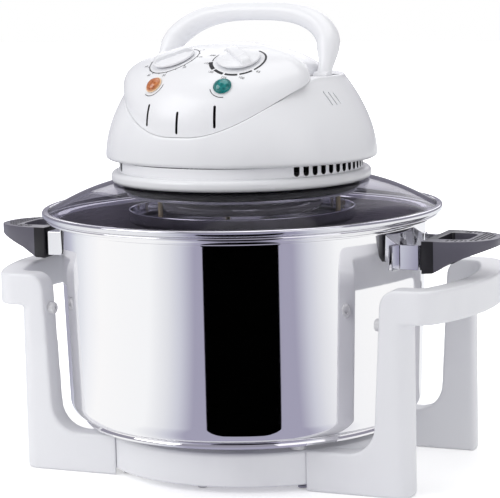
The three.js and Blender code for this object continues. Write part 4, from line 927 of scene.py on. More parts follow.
@dataclass
class Pot(Part):
    """Mirror-polished steel pot with its disc, straps and black grips."""

    rides_on: ClassVar[Body] = Body.POT
    wall: float = 1.5
    wall_lean: float = 2
    disc_low: float = 38.3
    disc_radius: float = 139
    disc_edge: Outline = ((2.2, 0), (1.2, 0.4), (0, 2.4))
    disc_shoulder: Outline = ((0.7, 0.6), (1.3, 0))
    floor: float = 43.9
    floor_flat: float = 60
    low_radius: float = 150.4
    top_radius: float = 155.3
    corner: float = 14
    rim_top: float = 213.6
    rim_radius: float = 166.5
    rim_roll: float = 2
    rim_inset: float = 4
    neck: float = 5
    flare_centre: float = 3
    flare_outside: float = 3
    flare_outside_lift: float = 1.6
    flare_inside: float = 4.5
    flare_inside_lift: float = 0.4
    strap_top: float = 194.5
    strap_height: float = 20.5
    strap_sheet: float = 1.5
    strap_reach: float = 171.5
    strap_width: float = 70
    strap_corner: float = 3
    strap_tab: float = 10
    strap_round: float = 0.4
    grip_top: float = 198
    grip_length: float = 55.3
    grip_half: float = 37
    grip_root: float = 26.5
    grip_tip: float = 6
    grip_flat: float = 9
    grip_flat_lift: float = 0.5
    grip_belly: Outline = ((22, 18), (36, 12.6))
    grip_bluntness: float = 1.2
    grip_round: float = 1.2
    # where the grips' painted sheen starts, past the flat of the root
    sheen_start: float = 3
    hole_inset: float = 8
    hole_length: float = 25
    hole_half: float = 19
    hole_corner: float = 3
    dot_pitch: float = 4.2
    dot_start: float = 19
    dot_rows: int = 10
    dot_columns: int = 8
    dot_profile: Outline = ((0, 0), (1.3, -0.2), (1.2, 0.3), (0.65, 0.55), (0, 0.6))
    dot_sink: float = 0.1
    dot_tip_room: float = 3.2
    dot_edge_room: float = 2.6
    dot_hole_room: float = 2.4
    row_share: float = 0.87
    overrun: float = 5

    def build(self) -> None:
        """Builds and dresses the whole pot."""
        self.body()
        self.disc()
        strap = self.strap()
        grip = self.grip()
        copy(strap, "left_strap", mirrored())
        copy(grip, "left_grip", mirrored())
        for side in Side:
            strap, grip = (bpy.data.objects[f"{side.label}_{name}"] for name in ("strap", "grip"))
            self.deliver(strap, "bracket_chrome", [f"{side.label}_handle_bracket"], 20)
            self.deliver(grip, "bakelite", [f"{side.label}_pot_grip"])
            # the grips' plain faces past the root get the lighter grey copy: painted sheen
            self.mark(grip, "bakelite_sheen", self.catches_light)
            self.dress(f"{side.label}_grip_bolt", "screw_steel")

    def catches_light(self, face: Face) -> bool:
        """Whether a grip's face is a plain one, out beyond its deep root, which gets a lighter grey as
        painted sheen.
        """
        start = self.strap_reach + self.grip_flat + self.sheen_start
        plain = face.center.z < (self.grip_top + self.dot_sink / 2) * MM
        return plain and abs(face.center.x) > start * MM

    def is_inside(self, face: Face) -> bool:
        """Whether a face belongs to the pot's inner wall or inner floor, which gets rougher steel darkened as
        painted shade.
        """
        low = face.center.z < (self.rim_top - self.neck) * MM
        floor = face.center.z > self.floor * MM and face.normal.z > 0.9
        return low and (outwardness(face) < -0.0007 or floor)

    def body(self) -> None:
        """The pot itself, with a rolled rim."""
        centre = self.floor + self.corner
        under = self.rim_top - 2 * self.rim_roll
        flare, flare_x = under - self.neck, self.top_radius + self.flare_centre
        round_x, roll, lean = self.low_radius - self.corner, self.rim_roll, self.wall_lean
        outside = [(0, self.floor), (self.floor_flat, self.floor),
                   *arc(round_x, centre, self.corner, -90, -lean, 20), (self.top_radius, flare),
                   *arc(flare_x, flare + self.flare_outside_lift, self.flare_outside, 200, 110, 6),
                   *arc(self.rim_radius - roll, under + roll, roll, -90, 90, 10)]
        inside = [(self.top_radius + self.rim_inset, self.rim_top),
                  *arc(flare_x, self.rim_top - self.neck + self.flare_inside_lift, self.flare_inside,
                       100, 170, 6),
                  *arc(round_x, centre, self.corner - self.wall, -lean, -90, 20),
                  (self.floor_flat, self.floor + self.wall), (0, self.floor + self.wall)]
        piece = turned("pot_shell", outside + inside, 192)
        self.deliver(piece, "pot_steel", ["pot_body"], 40)
        # inner wall and floor get the darker steel: painted shade
        self.mark(piece, "pot_inside", self.is_inside)

    def disc(self) -> None:
        """The thick disc under the floor, with a soft lower edge and a small shoulder."""
        low, high, radius = self.disc_low, self.floor - self.fit, self.disc_radius
        profile = [(0, low), *((radius - inset, low + lift) for inset, lift in self.disc_edge),
                   *((radius - inset, high - drop) for inset, drop in self.disc_shoulder), (0, high)]
        self.deliver(turned("pot_disc", profile, 144), "pot_steel", ["pot_base_disc"])

    def wall_radius(self, height: float) -> float:
        """Outside radius of the pot's wall at a height."""
        low = self.floor + self.corner
        high = self.rim_top - self.neck - 2 * self.rim_roll
        return mix(self.low_radius, self.top_radius, (height - low) / (high - low))

    def strap(self) -> Piece:
        """The right strap: two tabs on the pot and a loop that stands off it."""
        radius = self.wall_radius(self.strap_top) + self.fit
        sheet, bend = self.strap_sheet, self.strap_corner
        half, corner_x = self.strap_width / 2, self.strap_reach - self.strap_corner
        start = degrees(asin(half / (radius + sheet)))
        tab, inset = start + degrees(self.strap_tab / radius), start - degrees(sheet / radius)
        outer = [*arc(0, 0, radius + sheet, -tab, -start, 6), *arc(corner_x, bend - half, bend, -90, 0, 6),
                 *arc(corner_x, half - bend, bend, 0, 90, 6), *arc(0, 0, radius + sheet, start, tab, 6)]
        inner = [*arc(0, 0, radius, tab, inset, 6), *arc(corner_x, half - bend, bend - sheet, 90, 0, 6),
                 *arc(corner_x, bend - half, bend - sheet, 0, -90, 6), *arc(0, 0, radius, -inset, -tab, 6)]
        piece = prism("right_strap", outer + inner, self.strap_top - self.strap_height, self.strap_top)
        bevel(piece, self.strap_round, 2)
        return piece

    def grip(self) -> Piece:
        """The right grip: a flat D with a finger hole, deep at the pot and thin at its tip."""
        root, top, half, past = self.strap_reach + self.fit, self.grip_top, self.grip_half, self.overrun
        tip, low = root + self.grip_length, top - self.grip_root
        side = [(root, low), (root + self.grip_flat, low + self.grip_flat_lift),
                *((root + reach, top - depth) for reach, depth in self.grip_belly),
                (tip, top - self.grip_tip), (tip, top), (root, top)]
        power = 1 / self.grip_bluntness
        turns = [pi / 2 * i / 24 for i in range(-24, 25)]
        plan = [(max(root, root + self.grip_length * cos(t) ** power),
                 half * copysign(abs(sin(t)) ** power, t)) for t in turns]
        piece = prism("right_grip", plan, low - past, top + past)
        combine(piece, prism_y("grip_side", side, -half - past, half + past), "INTERSECT")
        start, end = root + self.hole_inset, root + self.hole_inset + self.hole_length
        wide, small, large = self.hole_half, self.hole_corner, self.hole_half / 2
        hole = [*arc(start + small, small - wide, small, 180, 270, 5),
                *arc(end - large, large - wide, large, -90, 0, 8),
                *arc(end - large, wide - large, large, 0, 90, 8),
                *arc(start + small, wide - small, small, 90, 180, 5)]
        cut(piece, prism("grip_hole", hole, low - past, top + past))
        bevel(piece, self.grip_round, 3)
        return join([piece, *self.grip_dots(root, end)])

    def grip_dots(self, root: float, hole_end: float) -> list[Piece]:
        """Rows of small round dots on the outer half of the grip's top.

        Args:
            root: Where the grip starts.
            hole_end: Where its finger hole ends.

        Returns:
            The dots, each with its own mesh.
        """
        pitch, height = self.dot_pitch, self.grip_top - self.dot_sink
        dots = []
        seed = turned("dot", self.dot_profile, 10)
        for row in range(self.dot_rows):
            for column in range(-self.dot_columns, self.dot_columns + 1):
                x = root + self.dot_start + row * pitch * self.row_share
                y = column * pitch + (pitch / 2 if row % 2 else 0)
                share = (x - root + self.dot_tip_room) / self.grip_length
                if share >= 1:
                    continue
                half = self.grip_half * sqrt(1 - share ** (2 * self.grip_bluntness)) - self.dot_edge_room
                near_hole = x < hole_end + self.dot_hole_room and abs(y) < self.hole_half + self.dot_hole_room
                if abs(y) <= half and not near_hole:
                    dots.append(copy(seed, "dot", Matrix.Translation(Vector((x, y, height)) * MM)))
        bpy.data.objects.remove(seed)
        return dots


# Heating head


@dataclass
class HeadForm:
    """Formulas of the head's two covers, in the head's own turned frame."""

    turn: float = -7
    bottom: float = 260.0
    half_width: float = 118
    half_depth: float = 104.5
    ledge: float = 329.1
    taper_share: float = 0.246
    taper_power: float = 1.9
    depth_share: float = 0.05
    wall: float = 2.5
    fit: float = 0.3
    top: float = 356.3
    front_low: float = 285
    front_radius: float = 102
    flank_radius: float = 97.5
    waist_radius: float = 70
    rear_radius: float = 74
    edge_rise: Point2 = (5, 80)
    flank_span: Point2 = (0, 60)
    waist_span: Point2 = (60, 88)
    rear_span: Point2 = (95, 120)
    crown_span: Point2 = (60, 120)
    crown_front: float = 2.4
    crown_rear: float = 1.5
    crown_power: float = 1.9
    slope_step: float = 0.3
    dial_side: float = 31
    dial_front: float = 53
    lamp_side: float = 32.5
    lamp_front: float = 82.5
    pivot_side: float = 79.5
    pivot_height: float = 326

    @property
    def frame(self) -> Matrix:
        """The head's frame on the pot."""
        return spun(radians(self.turn))

    def shell_radius(self, angle: float, height: float) -> float:
        """Outside radius of the lower cover at an angle from the front and a height."""
        share = min(1.0, max(0.0, (height - self.bottom) / (self.ledge - self.bottom)))
        width = self.half_width * (1 - self.taper_share * share ** self.taper_power)
        depth = width * (self.half_depth / self.half_width + self.depth_share * share)
        turn = radians(angle)
        return 1 / hypot(sin(turn) / width, cos(turn) / depth)

    def edge_height(self, angle: float) -> float:
        """Height of the panel's lower edge."""
        return mix(self.front_low, self.ledge + self.fit, ease(abs(angle), *self.edge_rise))

    def edge_radius(self, angle: float) -> float:
        """Outside radius of the panel at its lower edge."""
        turn = abs(angle)
        front = mix(self.front_radius, self.flank_radius, ease(turn, *self.flank_span))
        waist = mix(front, self.waist_radius, ease(turn, *self.waist_span))
        return mix(waist, self.rear_radius, ease(turn, *self.rear_span))

    def panel_height(self, angle: float, radius: float) -> float:
        """Outside height of the panel at an angle from the front and a radius."""
        low = self.edge_height(angle)
        power = mix(self.crown_front, self.crown_rear, ease(abs(angle), *self.crown_span))
        share = min(1.0, radius / self.edge_radius(angle))
        return low + (self.top - low) * (1 - share ** self.crown_power) ** (1 / power)

    def spot(self, x: float, y: float) -> Matrix:
        """A frame on the panel's face: Z along its normal and Y up the slope."""

        def height(px: float, py: float) -> float:
            """Height of the face above a point of the plan."""
            return self.panel_height(degrees(atan2(px, -py)), hypot(px, py))

        step = self.slope_step
        slope_x = (height(x + step, y) - height(x - step, y)) / (2 * step)
        slope_y = (height(x, y + step) - height(x, y - step)) / (2 * step)
        normal = Vector((-slope_x, -slope_y, 1)).normalized()
        up = -Vector((0, 1, 0)).cross(normal).cross(normal)
        up.normalize()
        across = up.cross(normal)
        basis = Matrix((across, up, normal)).transposed().to_4x4()
        return self.frame @ Matrix.Translation((x * MM, y * MM, height(x, y) * MM)) @ basis

    def dial_place(self, side: Side) -> Matrix:
        """Where a dial stands."""
        return self.spot(side.value * self.dial_side, -self.dial_front)

    def lamp_place(self, side: Side) -> Matrix:
        """Where a lamp stands."""
        return self.spot(side.value * self.lamp_side, -self.lamp_front)


@dataclass
class HeadCovers(Part):
    """Base, lower cover and upper cover of the heating head."""

    flange_low: float = 241.4
    flange_top: float = 250.8
    flange_radius: float = 110
    flange_under: float = 3.5
    flange_over: float = 4
    floor_sheet: float = 3
    shaft_hole: float = 8
    # dark_rise and skin_room bound the painted shade inside the neck
    dark_rise: float = 2
    skin_room: float = 0.1
    neck_radius: float = 103
    neck_top: float = 259.7
    neck_wall: float = 3
    neck_skin: float = 1.4
    neck_fillet: float = 1
    neck_lip: float = 0.6
    spigot_radius: float = 91.8
    spigot_wall: float = 3.6
    spigot_low: float = 233.3
    slot_width: float = 5.2
    slot_lift: float = 0.7
    slot_pitch: float = 4.9
    slot_count: int = 13
    slot_right: float = 56
    slot_left: float = 46
    foot_lift: float = 4
    foot_flat: float = 5
    foot_round: float = 3.4
    rim_round: float = 1.8
    rim_drop: float = 1.6
    lip_room: float = 1.5
    lip_width: float = 6
    boss_half: float = 6.6
    lug_start: float = 65
    lug_end: float = 87.8
    lug_half: float = 7
    lug_drop: float = 9
    lug_sink: float = 1.2
    pocket_corner: float = 3
    pocket_front: float = 8.5
    pocket_rear: float = 21
    pocket_round: float = 7
    pocket_drop: float = 11
    pocket_rise: float = 30
    pin_bore: float = 2.4
    pin_span: Point2 = (66.2, 88.2)
    groove_height: float = 312
    groove_start: float = 76
    groove_pitch: float = 3
    groove_half: float = 7
    groove_radius: float = 0.55
    groove_depth: float = 0.9
    groove_lean: float = 22
    groove_slant: float = 16
    dial_bore: float = 3.3
    lamp_bore: float = 6.4
    bore_span: Point2 = (-12, 8)
    slit_angle: float = 18.5
    slit_reach: float = 1.4
    slit_low: float = 287.5
    slit_high: float = 313
    slit_side_rise: float = 5
    slit_radius: float = 1.1
    slit_length: float = 18
    slit_depth: float = 12
    gland_height: float = 275
    gland_seat: float = 265
    gland_bore: float = 7.4
    gland_span: Point2 = (92, 112)
    gland_profile: Outline = ((3.6, -11.5), (7, -11.5), (7, 0.3), (10, 0.3),
                                         *arc(8.4, 2.2, 1.6, 0, 80, 4), *arc(5.2, 3.0, 1.0, 90, 180, 4))
    past: float = 3
    overrun: float = 6

    def build(self) -> None:
        """Builds and dresses the covers."""
        self.base()
        self.lower_cover()
        self.upper_cover()
        self.gland()

    def base(self) -> None:
        """Flange with a rounded edge, neck with vent slots, and spigot."""
        low, top, radius, neck = self.flange_low, self.flange_top, self.flange_radius, self.neck_radius
        floor, inner = low + self.floor_sheet, neck - self.neck_skin
        outer, spigot = self.spigot_radius, self.spigot_radius - self.spigot_wall
        under, over, fillet, lip = self.flange_under, self.flange_over, self.neck_fillet, self.neck_lip
        profile = [(self.shaft_hole, low), (spigot, low), (spigot, self.spigot_low), (outer, self.spigot_low),
                   (outer, low), *arc(radius - under, low + under, under, -90, 0, 8),
                   *arc(radius - over, top - over, over, 0, 90, 10),
                   *arc(neck + fillet, top + fillet, fillet, -90, -180, 4),
                   *arc(neck - lip, self.neck_top - lip, lip, 0, 90, 3), (inner, self.neck_top),
                   (inner, floor), (self.shaft_hole, floor)]
        piece = turned("head_collar", profile, 180)
        half, slot_top = self.slot_width / 2, self.neck_top + self.past
        outline = [*arc(0, top + self.slot_lift + half, half, 180, 360, 10),
                   (half, slot_top), (-half, slot_top)]
        seed = prism_y("slot", outline, -neck - self.overrun, -inner + self.overrun)
        slots = []
        for i in range(self.slot_count):
            for angle in (self.slot_right + i * self.slot_pitch, -self.slot_left - i * self.slot_pitch):
                slots.append(copy(seed, "slot", spun(radians(angle))))
        bpy.data.objects.remove(seed)
        cut(piece, join(slots))
        move(piece, self.form.frame)
        self.deliver(piece, "head_plastic", ["head_base"])
        # inside of the neck and the spigot get black as painted shade
        self.mark(piece, "inner_plastic", self.is_dark_base)

    def is_dark_base(self, face: Face) -> bool:
        """Whether a face of the base is inside its neck or on its spigot, where black is painted on the white
        plastic as shade.
        """
        height, reach = face.center.z / MM, hypot(face.center.x, face.center.y) / MM
        within = height > self.flange_low + self.dark_rise and reach < self.neck_radius - self.skin_room
        return within and outwardness(face) < 0.7 or height < self.flange_low - self.skin_room

    def shell_profile(self, angle: float) -> list[Point2]:
        """Section of the lower cover at an angle from the front."""
        form = self.form
        low, foot_top = form.bottom, form.bottom + self.foot_lift
        top = form.edge_height(angle) - form.fit
        rim, foot = top - self.rim_drop, form.shell_radius(angle, foot_top)
        lip = min(form.shell_radius(angle, top) - form.wall - self.lip_room,
                  form.edge_radius(angle) - self.lip_width)
        seat = self.neck_radius - self.neck_wall
        heights = [mix(foot_top, rim, i / 22) for i in range(23)]
        outer = [(form.shell_radius(angle, z), z) for z in heights]
        inner = [(r - form.wall, min(z, top - form.wall)) for r, z in outer[::-3]]
        corner, edge = self.foot_round, form.shell_radius(angle, rim) - self.rim_round
        return [(seat, low), (foot - self.foot_flat, low),
                *arc(foot - corner, low + corner, corner, -70, -10, 6), *outer,
                *arc(edge, top - self.rim_round, self.rim_round, 12, 90, 5), (lip, top),
                (lip, top - form.wall), *inner, (seat, low + form.wall)]

    def lower_cover(self) -> None:
        """The lower cover, with a pocket for each end of the handle and short grooves on its ears."""
        form, height = self.form, self.form.pivot_height
        piece = skin("lower_cover", 180, self.shell_profile, closed=True)
        inside, outside = self.form.pivot_side - self.boss_half, self.form.pivot_side + self.boss_half
        corner, large = self.pocket_corner, self.pocket_round
        front, rear = self.pocket_front, self.pocket_rear
        half = self.lug_half
        for side in Side:
            flip = Matrix.Diagonal((side.value, 1, 1, 1))
            for near, far in ((self.lug_start, inside), (outside, self.lug_end)):
                lug = prism("lug", [(near, -half), (far, -half), (far, half), (near, half)],
                            height - self.lug_drop, form.ledge - self.lug_sink)
                combine(piece, move(lug, flip), "UNION")
            outline = [*arc(inside + corner, corner - front, corner, 180, 270, 5),
                       *arc(outside - corner, corner - front, corner, 270, 360, 5),
                       *arc(outside - large, rear - large, large, 0, 90, 8),
                       *arc(inside + corner, rear - corner, corner, 90, 180, 5)]
            pocket = prism("pocket", outline, height - self.pocket_drop, height + self.pocket_rise)
            cut(piece, move(pocket, flip))
            hole = rod("pin_hole", self.pin_bore, self.pin_span, 24)
            cut(piece, move(hole, aside(side, height)))
            cut(piece, self.ear_grooves(side))
        hole = rod("gland_hole", self.gland_bore, self.gland_span, 32)
        cut(piece, move(hole, self.rearward()))
        move(piece, form.frame)
        self.deliver(piece, "head_plastic", ["head_shell"], 30)

    def rearward(self) -> Matrix:
        """A turn of Z to the rear, at the height of the cord's bush."""
        return Matrix.Translation((0, 0, self.gland_height * MM)) @ Matrix.Rotation(-pi / 2, 4, "X")

    def ear_grooves(self, side: Side) -> Piece:
        """Cutter for three short slanted grooves low on an ear."""
        height, wide = self.groove_height, self.groove_radius
        lean = (Matrix.Rotation(radians(90 - self.groove_lean), 4, "X")
                @ Matrix.Rotation(radians(self.groove_slant), 4, "Z"))
        grooves = []
        for i in range(3):
            angle = self.groove_start + self.groove_pitch * i
            radius, half = self.form.shell_radius(angle, height), self.groove_half - i
            outline = [*arc(0, -half, wide, 180, 360, 5), *arc(0, half, wide, 0, 180, 5)]
            groove = prism("groove", outline, -self.past, self.groove_depth)
            place = spun(radians(angle)) @ Matrix.Translation((0, -radius * MM, height * MM)) @ lean
            grooves.append(move(groove, place))
        cutter = join(grooves)
        return move(cutter, Matrix.Diagonal((side.value, 1, 1, 1)))

    def panel_profile(self, angle: float) -> list[Point2]:
        """Section of the upper cover at an angle from the front, from its top out and back inside."""
        form = self.form
        edge, low = form.edge_radius(angle), form.edge_height(angle)
        shares = [sin(pi / 2 * i / 34) for i in range(35)]
        outer = [(share * edge, form.panel_height(angle, share * edge)) for share in shares]
        inside = (edge - form.wall) / edge
        squeeze = (form.top - form.wall - low) / (form.top - low)
        return [*outer, *((r * inside, low + (z - low) * squeeze) for r, z in outer[::-2])]

    def upper_cover(self) -> None:
        """The upper cover that carries the controls, with three slits in its front."""
        form, wide = self.form, self.slit_radius
        piece = skin("upper_cover", 180, self.panel_profile, closed=False)
        bores = ((self.dial_bore, 24, form.dial_place), (self.lamp_bore, 32, form.lamp_place))
        for side in Side:
            for radius, steps, place in bores:
                hole = rod("hole", radius, self.bore_span, steps)
                cut(piece, move(hole, form.frame.inverted() @ place(side)))
        for turn in (-1, 0, 1):
            low = self.slit_low + abs(turn) * self.slit_side_rise
            outline = [*arc(0, low + wide, wide, 180, 360, 6),
                       *arc(0, low + self.slit_length - wide, wide, 0, 180, 6)]
            slit = prism_y("slit", outline, -form.front_radius - self.overrun,
                           self.slit_depth - form.front_radius)
            cut(piece, move(slit, spun(radians(turn * self.slit_angle))))
        # inside faces and the slits' walls get black as painted shade
        dark = {face.index for face in piece.data.polygons if self.is_dark_panel(face)}
        move(piece, form.frame)
        self.deliver(piece, "head_plastic", ["control_panel"], 32)
        self.mark(piece, "inner_plastic", lambda face: face.index in dark)

    def is_dark_panel(self, face: Face) -> bool:
        """Whether a face of the upper cover is inside it or in a slit, before the head is turned; these faces
        get black as painted shade.
        """
        angle = degrees(atan2(face.center.x, -face.center.y))
        near_slit = min(abs(angle - turn * self.slit_angle) for turn in (-1, 0, 1)) < self.slit_reach
        in_slit = near_slit and face.center.z < self.slit_high * MM and outwardness(face) < 0.6
        return outwardness(face) < -0.3 or face.normal.z < -0.5 or in_slit

    def gland(self) -> None:
        """The bush where the cord enters at the rear."""
        wall = self.form.shell_radius(180, self.gland_seat)
        piece = turned("cord_bush", [(r, wall + z) for r, z in self.gland_profile], 40)
        move(piece, self.form.frame @ self.rearward())
        self.deliver(piece, "inner_plastic", ["cord_gland"])


@dataclass
class Controls(Part):
    """Dials, their printed scales and the two lamps. Angles run clockwise from the top."""

    knob_radius: float = 18
    knob_low: float = 0.5
    knob_chamfer: float = 0.6
    knob_round: float = 1.1
    knob_step: Outline = ((13.5, 3.3), (12.2, 3.8), (11.4, 4))
    knob_top: float = 4
    knob_turn: float = 35
    bar_half: float = 4
    bar_low: float = 1.2
    bar_end: float = 2.4
    bar_inset: float = 6
    bar_round: float = 5.6
    bar_bevel: float = 1.2
    spindle_radius: float = 2.8
    spindle_span: Point2 = (-15, 2)
    scale_radius: float = 21.4
    number_radius: float = 25.8
    number_size: float = 3.4
    print_drop: float = 6
    print_lift: float = 0.12
    ring_line: float = 0.75
    ring_start: float = 2
    ring_step: float = 9
    ring_steps: int = 32
    tick_start: float = 50
    tick_pitch: float = 20
    tick_count: int = 13
    tick_half: float = 0.9
    tick_span: Point2 = (1.5, 2.2)
    tick_lift: float = 0.4
    minutes_pitch: float = 41.5
    minutes_count: int = 7
    thin_start: float = 249
    thin_step: float = 5
    thin_steps: int = 8
    thin_line: float = 0.8
    heat_arcs: tuple[Point3, ...] = ((-11, 0, 1.7), (0, 18, 0.8), (18, 117, 1.7), (122, 149.5, 1.8),
                                     (154, 181.5, 2.1), (186, 211, 2.5), (215, 246, 3.2))
    heats: tuple[int, ...] = (65, 100, 125, 150, 175, 200, 225, 250)
    heat_start: float = 114.5
    heat_pitch: float = 32.2
    heat_outset: float = 0.8
    lamp_radius: float = 7.5
    lamp_body: float = 6
    lamp_depth: float = 13
    lamp_seat: float = 0.3
    lamp_flange: float = 0.8
    dome_radius: float = 6.7
    dome_height: float = 3.4
    mark_radius: float = 10
    mark_line: float = 0.6
    mark_end: float = 232
    mark_starts: Point2 = (105, 145)

    def build(self) -> None:
        """Builds and dresses the controls."""
        self.knob(Side.LEFT, Body.TIMER, "timer_knob")
        self.knob(Side.RIGHT, Body.THERMOSTAT, "thermostat_knob")
        self.timer_scale()
        self.heat_scale()
        self.lamp(Side.LEFT, "power_lamp", "amber_lens", self.mark_starts[0])
        self.lamp(Side.RIGHT, "heat_lamp", "green_lens", self.mark_starts[1])

    def knob(self, side: Side, body: Body, node: str) -> None:
        """A round knob with a raised finger bar across it.

        Args:
            side: Which of the two dials.
            body: Body that it turns with.
            node: CAD node that it stands for.
        """
        radius, low, chamfer, corner = self.knob_radius, self.knob_low, self.knob_chamfer, self.knob_round
        profile = [(0, low), (radius - chamfer, low), (radius, low + chamfer),
                   *arc(radius - corner, low + corner, corner, 0, 70, 5), *self.knob_step, (0, self.knob_top)]
        piece = turned(f"{node}_cap", profile, 72)
        half, centre = radius - chamfer, radius - chamfer - self.bar_inset
        bar = [(-half, self.bar_low), (half, self.bar_low), (half, self.bar_end),
               *arc(centre, self.bar_low, self.bar_round, 20, 86, 7),
               *arc(-centre, self.bar_low, self.bar_round, 94, 160, 7), (-half, self.bar_end)]
        grip = prism_y("bar", bar, -self.bar_half, self.bar_half)
        bevel(grip, self.bar_bevel, 4, 50)
        combine(piece, grip, "UNION")
        combine(piece, rod("spindle", self.spindle_radius, self.spindle_span, 24), "UNION")
        move(piece, self.form.dial_place(side) @ spun(radians(-side.value * self.knob_turn)))
        self.deliver(piece, "head_plastic", [node], 32, body)

    def lay_on_panel(self, marks: Sequence[Piece], place: Matrix, name: str) -> Piece:
        """Joins flat marks and lays them just above the panel's face, as its print.

        Args:
            marks: The flat marks, round the origin.
            place: Frame on the face that they are laid round.
            name: Name of the print.

        Returns:
            The print.
        """
        piece = join(marks)
        piece.name = piece.data.name = name
        edit(piece)
        bpy.ops.mesh.remove_doubles(threshold=MERGE)
        bpy.ops.mesh.normals_make_consistent(inside=False)
        bpy.ops.mesh.quads_convert_to_tris()
        bpy.ops.object.mode_set(mode="OBJECT")
        move(piece, place @ Matrix.Translation((0, 0, self.print_drop * MM)))
        normal = place.to_3x3() @ Vector((0, 0, 1))
        back = self.form.frame.inverted()
        for vertex in piece.data.vertices:
            spot = vertex.co.copy()
            for _ in range(12):
                local = back @ spot
                x, y = local.x / MM, local.y / MM
                height = self.form.panel_height(degrees(atan2(x, -y)), hypot(x, y)) * MM
                spot -= normal * (local.z - height) * normal.z
            vertex.co = spot + normal * self.print_lift * MM
        return self.deliver(piece, "head_plastic", finish="print_black")

    def band(self, inner: float, width: float, start: float, end: float) -> Piece:
        """A flat ring sector between two angles."""
        steps, outer = max(2, int(abs(end - start) / 5)), inner + width
        outline = (arc(0, 0, outer, 90 - start, 90 - end, steps)
                   + arc(0, 0, inner, 90 - end, 90 - start, steps))
        piece = flat("band", [(x * MM, y * MM, 0) for x, y in outline])
        tidy()
        return piece

    def bands(self, inner: float, width: float, start: float, end: float, count: int) -> list[Piece]:
        """A long ring sector, as a row of short ones that can follow the panel's face."""
        stops = [mix(start, end, i / count) for i in range(count + 1)]
        return [self.band(inner, width, near, far) for near, far in zip(stops, stops[1:])]

    def number(self, text: str, angle: float, radius: float) -> Piece:
        """A plain number beside the scale."""
        rest()
        bpy.ops.object.text_add(location=(0, 0, 0))
        label = bpy.context.object
        label.data.body = text
        label.data.size = self.number_size * MM
        label.data.align_x = "CENTER"
        label.data.align_y = "CENTER"
        label.data.resolution_u = 3
        pick(label)
        bpy.ops.object.convert(target="MESH")
        label = bpy.context.object
        turn = radians(90 - angle)
        return move(label, Matrix.Translation(Vector((cos(turn), sin(turn), 0)) * radius * MM))

    def timer_scale(self) -> None:
        """A thin ring with ticks and minutes round the timer."""
        ring, start = self.scale_radius, self.tick_start
        end = self.ring_start + self.ring_step * self.ring_steps
        marks = self.bands(ring, self.ring_line, self.ring_start, end, self.ring_steps)
        for i in range(self.tick_count):
            angle, reach = start + i * self.tick_pitch, self.tick_span[1 - i % 2]
            marks.append(self.band(ring + self.tick_lift, reach - self.tick_lift,
                                   angle - self.tick_half, angle + self.tick_half))
        for i in range(self.minutes_count):
            marks.append(self.number(str(10 * i), start + i * self.minutes_pitch, self.number_radius))
        self.lay_on_panel(marks, self.form.dial_place(Side.LEFT), "timer_scale")

    def heat_scale(self) -> None:
        """A thin arc that thickens in steps, with temperatures, round the thermostat."""
        ring, start = self.scale_radius, self.thin_start
        end = start + self.thin_step * self.thin_steps
        marks = self.bands(ring, self.thin_line, start, end, self.thin_steps)
        for near, far, width in self.heat_arcs:
            marks += self.bands(ring, width, near, far, 4)
        for i, value in enumerate(self.heats):
            marks.append(self.number(str(value), self.heat_start + self.heat_pitch * i,
                                     self.number_radius + self.heat_outset))
        self.lay_on_panel(marks, self.form.dial_place(Side.RIGHT), "heat_scale")

    def lamp(self, side: Side, node: str, finish: str, mark_start: float) -> None:
        """A domed lens on a thin flange, with a curved mark below it.

        Args:
            side: Which of the two lamps.
            node: CAD node that it stands for.
            finish: Name of its finish, which is its slot too.
            mark_start: Where its mark starts.
        """
        radius, body, flange = self.lamp_radius, self.lamp_body, self.lamp_flange
        dome = [(r, flange + z * self.dome_height / self.dome_radius)
                for r, z in arc(0, 0, self.dome_radius, 0, 90, 10)]
        profile = [(0, -self.lamp_depth), (body, -self.lamp_depth), (body, self.lamp_seat),
                   (radius, self.lamp_seat), (radius, flange), *dome[:-1], (0, dome[-1][1])]
        piece = turned(f"{node}_lens", profile, 48)
        place = self.form.lamp_place(side)
        self.deliver(move(piece, place), finish, [node], 40)
        marks = self.bands(self.mark_radius, self.mark_line, mark_start, self.mark_end, 8)
        self.lay_on_panel(marks, place, f"{node}_mark")


